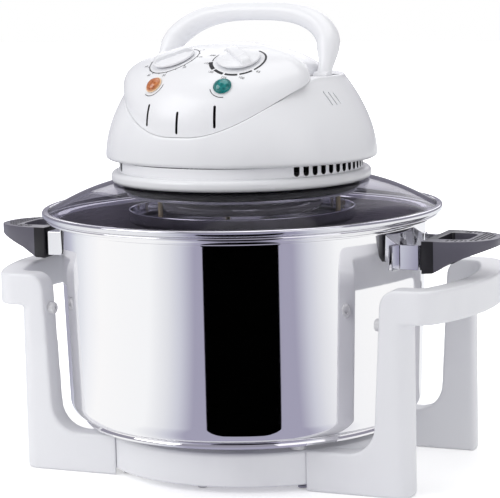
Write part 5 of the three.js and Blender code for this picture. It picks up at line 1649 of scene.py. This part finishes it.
@dataclass
class CarryHandle(Part):
    """The arched handle, its bosses and its pins."""

    lean: float = 32
    apex: float = 64.7
    belly: float = 82
    width_power: float = 0.7
    rise_power: float = 0.75
    foot_share: float = 0.85
    end_span: Point2 = (9, 34)
    radius_apex: float = 7.8
    radius_arm: float = 9.8
    radius_end: float = 6
    boss_half: float = 6.3
    boss_radius: float = 6.5
    boss_round: float = 0.5
    bore_radius: float = 2.4
    bore_past: float = 3
    pin_radius: float = 2
    pin_chamfer: float = 0.3
    pin_span: Point2 = (66.5, 87.9)
    rows: int = 96
    sides: int = 32
    step: float = 0.004

    @property
    def place(self) -> Matrix:
        """The handle's frame at rest."""
        lean = Matrix.Rotation(-radians(self.lean), 4, "X")
        return self.form.frame @ Matrix.Translation((0, 0, self.form.pivot_height * MM)) @ lean

    def arch(self, share: float) -> tuple[float, float, float]:
        """Offset across, height and radius of the arch at a share of its length."""
        side, rise = cos(pi * share), sin(pi * share)
        foot = (self.form.pivot_side - self.belly) * ease(abs(side), self.foot_share, 1)
        across = copysign(abs(side) ** self.width_power * self.belly + foot, side)
        up = self.apex * abs(rise) ** self.rise_power
        arm = ease(abs(side), 0, self.foot_share)
        radius = mix(self.radius_end, mix(self.radius_apex, self.radius_arm, arm), ease(up, *self.end_span))
        return across, up, radius

    def build(self) -> None:
        """Builds and dresses the handle and its pins."""
        piece = self.bar()
        low, high = self.form.pivot_side - self.boss_half, self.form.pivot_side + self.boss_half
        corner, past = self.boss_round, self.bore_past
        profile = [(0, low), *arc(self.boss_radius - corner, low + corner, corner, -90, 0, 3),
                   *arc(self.boss_radius - corner, high - corner, corner, 0, 90, 3), (0, high)]
        for side in Side:
            across = aside(side)
            combine(piece, move(turned("boss", profile, 48), across), "UNION")
            bore = rod("bore", self.bore_radius, (low - past, high + past), 32)
            cut(piece, move(bore, across))
        self.deliver(move(piece, self.place), "head_plastic", ["carry_handle"], 40, Body.HANDLE)
        for side in Side:
            self.pin(side)

    def bar(self) -> Piece:
        """The arched bar, as a tube wrapped round its line."""
        rest()
        bpy.ops.mesh.primitive_grid_add(x_subdivisions=self.sides, y_subdivisions=self.rows, size=1)
        piece = bpy.context.object
        piece.name = piece.data.name = "handle_arch"
        for j in range(self.rows + 1):
            share = mix(0.5 - 0.5 * cos(pi * j / self.rows), j / self.rows, 0.5)
            here = self.arch(share)
            before, after = self.arch(max(0.0, share - self.step)), self.arch(min(1.0, share + self.step))
            run = Vector((after[0] - before[0], after[1] - before[1])).normalized()
            for i in range(self.sides + 1):
                turn = FULL_TURN * i / self.sides
                out, deep = here[2] * cos(turn), here[2] * sin(turn)
                spot = (here[0] + out * run.y, deep, here[1] - out * run.x)
                piece.data.vertices[j * (self.sides + 1) + i].co = Vector(spot) * MM
        edit(piece)
        bpy.ops.mesh.remove_doubles(threshold=MERGE)
        bpy.ops.mesh.fill_holes(sides=0)
        tidy()
        return piece

    def pin(self, side: Side) -> None:
        """The pin that the handle turns on at one side."""
        (low, high), radius, chamfer = self.pin_span, self.pin_radius, self.pin_chamfer
        profile = [(0, low), (radius - chamfer, low), (radius, low + chamfer), (radius, high - chamfer),
                   (radius - chamfer, high), (0, high)]
        place = self.form.frame @ aside(side, self.form.pivot_height)
        piece = move(turned(f"{side.label}_pin", profile, 32), place)
        self.deliver(piece, "inner_steel", [f"{side.label}_pivot_pin"])


# Glass and what hangs below it


@dataclass
class GlassLid(Part):
    """Domed glass with its steel band."""

    band_low: float = 213.9
    band_height: float = 4.8
    band_radius: float = 169.7
    band_round: float = 1.6
    band_chamfer: float = 0.3
    sheet: float = 0.9
    lip: float = 5
    thickness: float = 3.2
    edge_round: float = 0.8
    seat: float = 241.1
    seat_radius: float = 107
    hole: float = 92.4
    hole_round: float = 0.6
    bow: float = 2.6

    def build(self) -> None:
        """Builds and dresses the glass and its band."""
        self.glass()
        self.band()

    def glass(self) -> None:
        """The glass: a shallow cone, bowed a little, with a flat seat round its hole."""
        low, edge = self.band_low + self.sheet, self.band_radius - self.sheet - self.fit
        start, thick = edge + self.sheet - self.lip, self.thickness
        corner, soft = self.edge_round, self.hole_round
        under = []
        for i in range(25):
            share = i / 24
            under.append((mix(start, self.seat_radius, share),
                          mix(low, self.seat - thick, share) + self.bow * sin(pi * share)))
        upper = [(r, z + thick) for r, z in under]
        outline = [(edge, low), *arc(edge - corner, low + thick - corner, corner, 0, 90, 4), *upper,
                   *arc(self.hole + soft, self.seat - soft, soft, 90, 180, 3), (self.hole, self.seat - thick),
                   *under[::-1]]
        self.deliver(turned("lid_glass", outline, 192), "lid_glass", ["glass_lid"], 30)

    def band(self) -> None:
        """The steel band folded round the edge of the glass."""
        outer, corner = self.band_radius, self.band_round
        low, top = self.band_low, self.band_low + self.band_height
        lip, wall, chamfer = outer - self.lip, outer - self.sheet, self.band_chamfer
        inner_top, inner_low = top - self.sheet + self.fit, low + self.sheet - self.fit
        outline = [(lip, low), *arc(outer - corner, low + corner, corner, -90, 0, 8),
                   *arc(outer - corner, top - corner, corner, 0, 90, 8), (lip + chamfer, top),
                   (lip, top - chamfer), (lip, inner_top), (wall, inner_top), (wall, inner_low),
                   (lip, inner_low)]
        self.deliver(turned("lid_band", outline, 192), "rim_steel", ["lid_rim_band"])


@dataclass
class Heater(Part):
    """Shield, heating tube, guard and posts under the glass."""

    shield_top: float = 233.0
    shield_radius: float = 97
    shield_sheet: float = 2
    shield_hole: float = 8
    shield_rim: float = 0.8
    shield_round: float = 1.5
    shield_groove: Outline = ((60, 0), (62, 0.5), (66, 0.5), (68, 0))
    tube_circle: float = 64
    tube_height: float = 221
    tube_radius: float = 4.5
    tube_opening: float = 16
    clip_width: float = 13
    clip_half: float = 6.5
    clip_drop: float = 6
    clip_bevel: float = 0.8
    guard_radius: float = 96
    guard_top: float = 218
    guard_height: float = 12
    guard_sheet: float = 1.5
    guard_corner: float = 4
    guard_roll: float = 0.75
    guard_edge: float = 0.8
    slot_near: float = 25.5
    slot_far: float = 74.5
    slot_half: float = 3.5
    slot_count: int = 12
    past: float = 3
    post_circle: float = 86
    post_first: float = 9
    post_radius: float = 2
    post_neck: float = 1.7
    post_collar: tuple[float, ...] = (4, 3.7, 3.2, 2.9)

    def build(self) -> None:
        """Builds and dresses the parts of the heater."""
        self.shield()
        self.guard()
        self.posts()
        self.tube()
        self.clips()

    def shield(self) -> None:
        """Spun sheet above the heater, with a rim and a pressed groove."""
        top, radius, sheet, corner = self.shield_top, self.shield_radius, self.shield_sheet, self.shield_round
        under = top - sheet
        profile = [(self.shield_hole, top), *((r, top - depth) for r, depth in self.shield_groove),
                   *arc(radius - corner, top - corner, corner, 90, 0, 5), (radius, under - self.shield_rim),
                   (radius - sheet, under - self.shield_rim), (radius - sheet, under),
                   (self.shield_hole, under)]
        piece = turned("shield", profile, 144)
        self.deliver(move(piece, self.form.frame), "inner_steel", ["heat_shield"])

    def guard(self) -> None:
        """Chromed guard with a rolled rim and radial slots in its floor."""
        top, radius, corner = self.guard_top, self.guard_radius, self.guard_corner
        roll, sheet = self.guard_roll, self.guard_sheet
        floor = top - self.guard_height
        profile = [(0, floor), *arc(radius - corner, floor + corner, corner, -90, 0, 8),
                   (radius, top - self.guard_edge), *arc(radius - roll, top - roll, roll, 0, 180, 6),
                   *arc(radius - corner, floor + corner, corner - sheet, 0, -90, 8), (0, floor + sheet)]
        piece = turned("guard", profile, 144)
        wide = self.slot_half
        outline = [*arc(self.slot_near, 0, wide, 90, 270, 8), *arc(self.slot_far, 0, wide, -90, 90, 8)]
        seed = prism("guard_slot", outline, floor - self.past, floor + sheet + self.past)
        slots = [copy(seed, "guard_slot", spun(FULL_TURN * i / self.slot_count))
                 for i in range(self.slot_count)]
        bpy.data.objects.remove(seed)
        cut(piece, join(slots))
        self.deliver(move(piece, self.form.frame), "guard_chrome", ["heater_guard"])

    def posts(self) -> None:
        """Three brass posts with collars."""
        low = self.guard_top - self.guard_height + self.guard_sheet + self.fit
        high = self.shield_top - self.shield_sheet - self.fit
        radius, neck = self.post_radius, self.post_neck
        start, neck_low, neck_high, end = (high - depth for depth in self.post_collar)
        profile = [(0, low), (radius, low), (radius, start), (neck, neck_low), (neck, neck_high),
                   (radius, end), (radius, high), (0, high)]
        for i in range(3):
            post = turned(f"post_{i + 1}", profile, 28)
            turn = radians(self.post_first + 120 * i)
            spot = Vector((cos(turn), sin(turn), 0)) * self.post_circle * MM
            place = self.form.frame @ Matrix.Translation(spot)
            self.deliver(move(post, place), "post_brass", [f"guard_post_{i + 1}"])

    def tube(self) -> None:
        """The ring-shaped heating tube, open at the rear."""
        half = asin(self.tube_opening / self.tube_circle)
        circle = arc(self.tube_circle, self.tube_height, self.tube_radius, 0, 360, 20)[:-1]
        piece = turned("tube", circle, 120, angle=FULL_TURN - 2 * half)
        edit(piece)
        bpy.ops.mesh.fill_holes(sides=0)
        tidy()
        start = spun(pi / 2 + half)
        self.deliver(move(piece, self.form.frame @ start), "quartz", ["halogen_tube"])

    def clips(self) -> None:
        """Two ceramic blocks, one for each end of the tube."""
        middle, half = sqrt(self.tube_circle ** 2 - self.tube_opening ** 2), self.clip_half
        far = self.tube_opening - self.fit
        near = far - self.clip_width
        outline = [(near, middle - half), (far, middle - half), (far, middle + half), (near, middle + half)]
        clip = prism("right_clip", outline, self.tube_height - self.clip_drop,
                     self.shield_top - self.shield_sheet - self.fit)
        bevel(clip, self.clip_bevel, 2)
        copy(clip, "left_clip", mirrored())
        for side in Side:
            piece = move(bpy.data.objects[f"{side.label}_clip"], self.form.frame)
            self.deliver(piece, "ceramic", [f"{side.label}_tube_clip"])


@dataclass
class Insides(Part):
    """Finishes of the CAD pieces that stay as they are, inside the head."""

    DRESS: ClassVar[dict[str, str]] = {
        "clamp_ring": "inner_plastic", "motor_bracket": "inner_steel", "motor_core": "core_steel",
        "motor_coil": "winding", "motor_rotor": "core_steel", "motor_shaft": "inner_steel",
        "cooling_fan": "inner_plastic", "convection_fan": "inner_steel", "timer_body": "inner_plastic",
        "thermostat_body": "inner_plastic", "safety_switch": "inner_plastic",
        "switch_plunger": "clear_rubber",
    }

    def build(self) -> None:
        """Gives each carried-over node its finish."""
        for node, finish in self.DRESS.items():
            self.dress(node, finish)


# Studio


@dataclass(frozen=True)
class Softbox:
    """A square area lamp: place and size in metres, power in watts."""

    name: str
    spot: Point3
    size: float
    power: float


@dataclass
class Studio:
    """Floor, what the steel reflects, soft lights and the camera. Lengths in metres, angles in radians."""

    distance: float = 1.8
    azimuth: float = 0.409
    camera_height: float = 0.4395
    pitch: float = 0.143
    yaw: float = -0.003
    roll: float = -0.022
    focal_px: float = 2134.4
    width_px: float = 500
    sensor: float = 36
    side_shift: float = 0.0004
    mirrored_tone: Point3 = (0.3, 0.29, 0.35)
    light_level: float = 0.56
    floor_size: float = 14
    floor_fade: Point2 = (0.25, 0.9)
    floor_levels: Point2 = (0.34, 1.0)
    lamps: tuple[Softbox, ...] = (
        Softbox("key", (-1.4, -1.4, 1.5), 1.5, 19), Softbox("fill", (1.9, -1.0, 1.0), 1.4, 5),
        Softbox("top", (0.1, 0.2, 2.1), 1.6, 11), Softbox("rear", (-0.6, 1.8, 1.2), 1.4, 7),
    )
    lamp_aim: Point3 = (0, 0, 0.2)
    wheel_height: float = 0.001
    wheel_stops: tuple[tuple[float, Point3], ...] = (
        (-142, (0.4, 0.4, 0.49)), (-130, (0.54, 0.55, 0.65)), (-120, (0.76, 0.78, 0.83)),
        (-106, (0.92, 0.93, 0.96)), (-92, (1.0, 1.0, 1.0)), (-54, (0.96, 0.97, 0.98)),
        (-42, (0.78, 0.79, 0.83)), (-35, (0.62, 0.63, 0.71)), (-27, (0.37, 0.36, 0.47)),
        (27, (0.37, 0.36, 0.47)), (35, (0.62, 0.63, 0.71)), (42, (0.78, 0.79, 0.83)),
        (54, (0.96, 0.97, 0.98)), (90, (1.0, 1.0, 1.0)), (170, (0.9, 0.92, 0.96)),
    )
    sheet_height: float = 0.002
    sheet_near: float = 0.172
    sheet_far: float = 1.6
    sheet_left: Point3 = (0.034, 0.149, 26.0)
    sheet_right: Point3 = (0.0273, 0.151, 22.6)
    sheet_bend: Outline = ((0.15, 0.0), (0.08, 0.001), (0.03, 0.004), (0.008, 0.009), (0.0, 0.015))

    def build(self) -> None:
        """Sets up the whole studio."""
        bpy.context.scene.view_settings.view_transform = "Standard"
        self.camera()
        self.world()
        self.floor()
        self.shaded_floor()
        self.black_sheet()
        self.lights()

    def camera(self) -> None:
        """The camera at the photograph's place."""
        turn = self.azimuth + self.yaw
        forward = Vector((-sin(turn) * cos(self.pitch), cos(turn) * cos(self.pitch),
                          -sin(self.pitch)))
        right = forward.cross(Vector((0, 0, 1))).normalized()
        up = right.cross(forward)
        across = right * cos(self.roll) + up * sin(self.roll)
        above = up * cos(self.roll) - right * sin(self.roll)
        spot = Vector((self.distance * sin(self.azimuth), -self.distance * cos(self.azimuth),
                       self.camera_height)) + right * self.side_shift
        data = bpy.data.cameras.new("photo_camera")
        data.sensor_width = self.sensor
        data.lens = self.focal_px / self.width_px * self.sensor
        camera = bpy.data.objects.new("photo_camera", data)
        bpy.context.scene.collection.objects.link(camera)
        basis = Matrix((across, above, -forward)).transposed().to_4x4()
        camera.matrix_world = Matrix.Translation(spot) @ basis
        bpy.context.scene.camera = camera

    def world(self) -> None:
        """White for the camera and through glass, dim lilac in reflections, and softer as a light."""
        world = bpy.data.worlds.new("studio")
        bpy.context.scene.world = world
        world.use_nodes = True
        tree = world.node_tree
        back, path = tree.nodes["Background"], tree.nodes.new("ShaderNodeLightPath")
        tone = tree.nodes.new("ShaderNodeMix")
        tone.data_type = "RGBA"
        tone.inputs["A"].default_value = (1, 1, 1, 1)
        tone.inputs["B"].default_value = (*self.mirrored_tone, 1)
        tree.links.new(path.outputs["Is Glossy Ray"], tone.inputs["Factor"])
        tree.links.new(tone.outputs["Result"], back.inputs["Color"])
        seen = path.outputs["Is Camera Ray"]
        for ray in ("Is Glossy Ray", "Is Transmission Ray"):
            either = tree.nodes.new("ShaderNodeMath")
            either.operation = "MAXIMUM"
            tree.links.new(seen, either.inputs[0])
            tree.links.new(path.outputs[ray], either.inputs[1])
            seen = either.outputs[0]
        level = tree.nodes.new("ShaderNodeMapRange")
        level.inputs["To Min"].default_value = self.light_level
        level.inputs["To Max"].default_value = 1.0
        tree.links.new(seen, level.inputs["Value"])
        tree.links.new(level.outputs["Result"], back.inputs["Strength"])

    def plane(self, name: str, height: float = 0) -> Piece:
        """A wide plane at a height over the ground."""
        rest()
        bpy.ops.mesh.primitive_plane_add(size=self.floor_size, location=(0, 0, 0))
        piece = bpy.context.object
        piece.name = name
        piece.location.z = height
        return piece

    def floor(self) -> None:
        """A wide white floor that keeps the object's shadow and blends into the background."""
        piece, shade = self.plane("floor"), Shade("floor")
        shade.set(Roughness=0.7, Base_Color=(0.9, 0.9, 0.91, 1), Emission_Color=(1, 1, 1, 1))
        place, path = shade.node("TexCoord"), shade.node("LightPath")
        reach = shade.node("VectorMath")
        reach.operation = "LENGTH"
        fade = shade.node("MapRange", From_Min=self.floor_fade[0], From_Max=self.floor_fade[1],
                          To_Min=self.floor_levels[0], To_Max=self.floor_levels[1])
        level = shade.node("Math")
        level.operation = "MULTIPLY"
        shade.link(place.outputs["Object"], reach.inputs[0])
        shade.link(reach.outputs["Value"], fade.inputs["Value"])
        shade.link(path.outputs["Is Camera Ray"], level.inputs[0])
        shade.link(fade.outputs["Result"], level.inputs[1])
        shade.link(level.outputs[0], shade.shader.inputs["Emission Strength"])
        piece.data.materials.append(shade.material)

    def shaded_floor(self) -> None:
        """What polished pieces see below the horizon: a floor shaded by its angle round the pot."""
        piece, shade = self.plane("shaded_floor", self.wheel_height), Shade("shaded_floor")
        place = shade.node("TexCoord")
        turn = shade.node("Mapping", Rotation=(0.0, 0.0, pi / 2 - self.azimuth))
        angle = shade.node("TexGradient")
        angle.gradient_type = "RADIAL"
        ramp = shade.node("ValToRGB")
        elements = ramp.color_ramp.elements
        for element, (bearing, colour) in zip(elements, (self.wheel_stops[0], self.wheel_stops[-1])):
            element.position, element.color = 0.5 + bearing / 360, (*colour, 1)
        for bearing, colour in self.wheel_stops[1:-1]:
            elements.new(0.5 + bearing / 360).color = (*colour, 1)
        shade.link(place.outputs["Object"], turn.inputs["Vector"])
        shade.link(turn.outputs["Vector"], angle.inputs["Vector"])
        shade.link(angle.outputs["Fac"], ramp.inputs["Fac"])
        shade.link(ramp.outputs["Color"], shade.shader.inputs["Emission Color"])
        shade.set(Base_Color=(0, 0, 0, 1), Specular_IOR_Level=0.0, Emission_Strength=1.0)
        self.only_mirrored(piece, shade)

    def black_sheet(self) -> None:
        """A black sheet before the pot, seen only in reflections, which paints the dark reflected band in its
        wall.
        """
        height, near, far = self.sheet_height, self.sheet_near, self.sheet_far

        def edge(line: Point3, y: float) -> float:
            """How far out an edge of the sheet lies at a distance before the pot."""
            offset, start, spread = line
            return offset + (y - start) * tan(radians(spread))

        corners = [(inward - edge(self.sheet_left, near + back), -near - back, height)
                   for back, inward in self.sheet_bend]
        corners += [(edge(self.sheet_right, near + back) - inward, -near - back, height)
                    for back, inward in self.sheet_bend[::-1]]
        corners += [(edge(self.sheet_right, far), -far, height), (-edge(self.sheet_left, far), -far, height)]
        sheet = flat("black_sheet", corners)
        tidy()
        move(sheet, spun(self.azimuth))
        shade = Shade("black_sheet")
        shade.set(Base_Color=(0, 0, 0, 1), Specular_IOR_Level=0.0, Roughness=1.0)
        self.only_mirrored(sheet, shade)

    @staticmethod
    def only_mirrored(piece: Piece, shade: Shade) -> None:
        """Dresses a reflector and hides it from all but glossy rays."""
        piece.data.materials.append(shade.material)
        for ray in ("camera", "diffuse", "shadow", "transmission"):
            setattr(piece, f"visible_{ray}", False)

    def lights(self) -> None:
        """Large soft lamps: a key from the upper left, a fill from the right, one above and one behind."""
        for softbox in self.lamps:
            data = bpy.data.lights.new(softbox.name, "AREA")
            data.size = softbox.size
            data.energy = softbox.power
            lamp = bpy.data.objects.new(softbox.name, data)
            bpy.context.scene.collection.objects.link(lamp)
            lamp.location = softbox.spot
            aim = Vector(self.lamp_aim) - Vector(softbox.spot)
            lamp.rotation_euler = aim.to_track_quat("-Z", "Y").to_euler()


def main() -> None:
    """Builds the oven round the frame, sub-assembly by sub-assembly."""
    logging.basicConfig(level=logging.INFO, format="%(name)s %(message)s")
    form = HeadForm()
    palette = Palette(Effects(), form)
    Studio().build()
    for kind in (Stand, Pot, GlassLid, Heater, HeadCovers, Controls, CarryHandle, Insides):
        log.info("building %s", kind.__name__)
        kind(palette, form).build()
    rest()


if __name__ == "__main__":
    main()
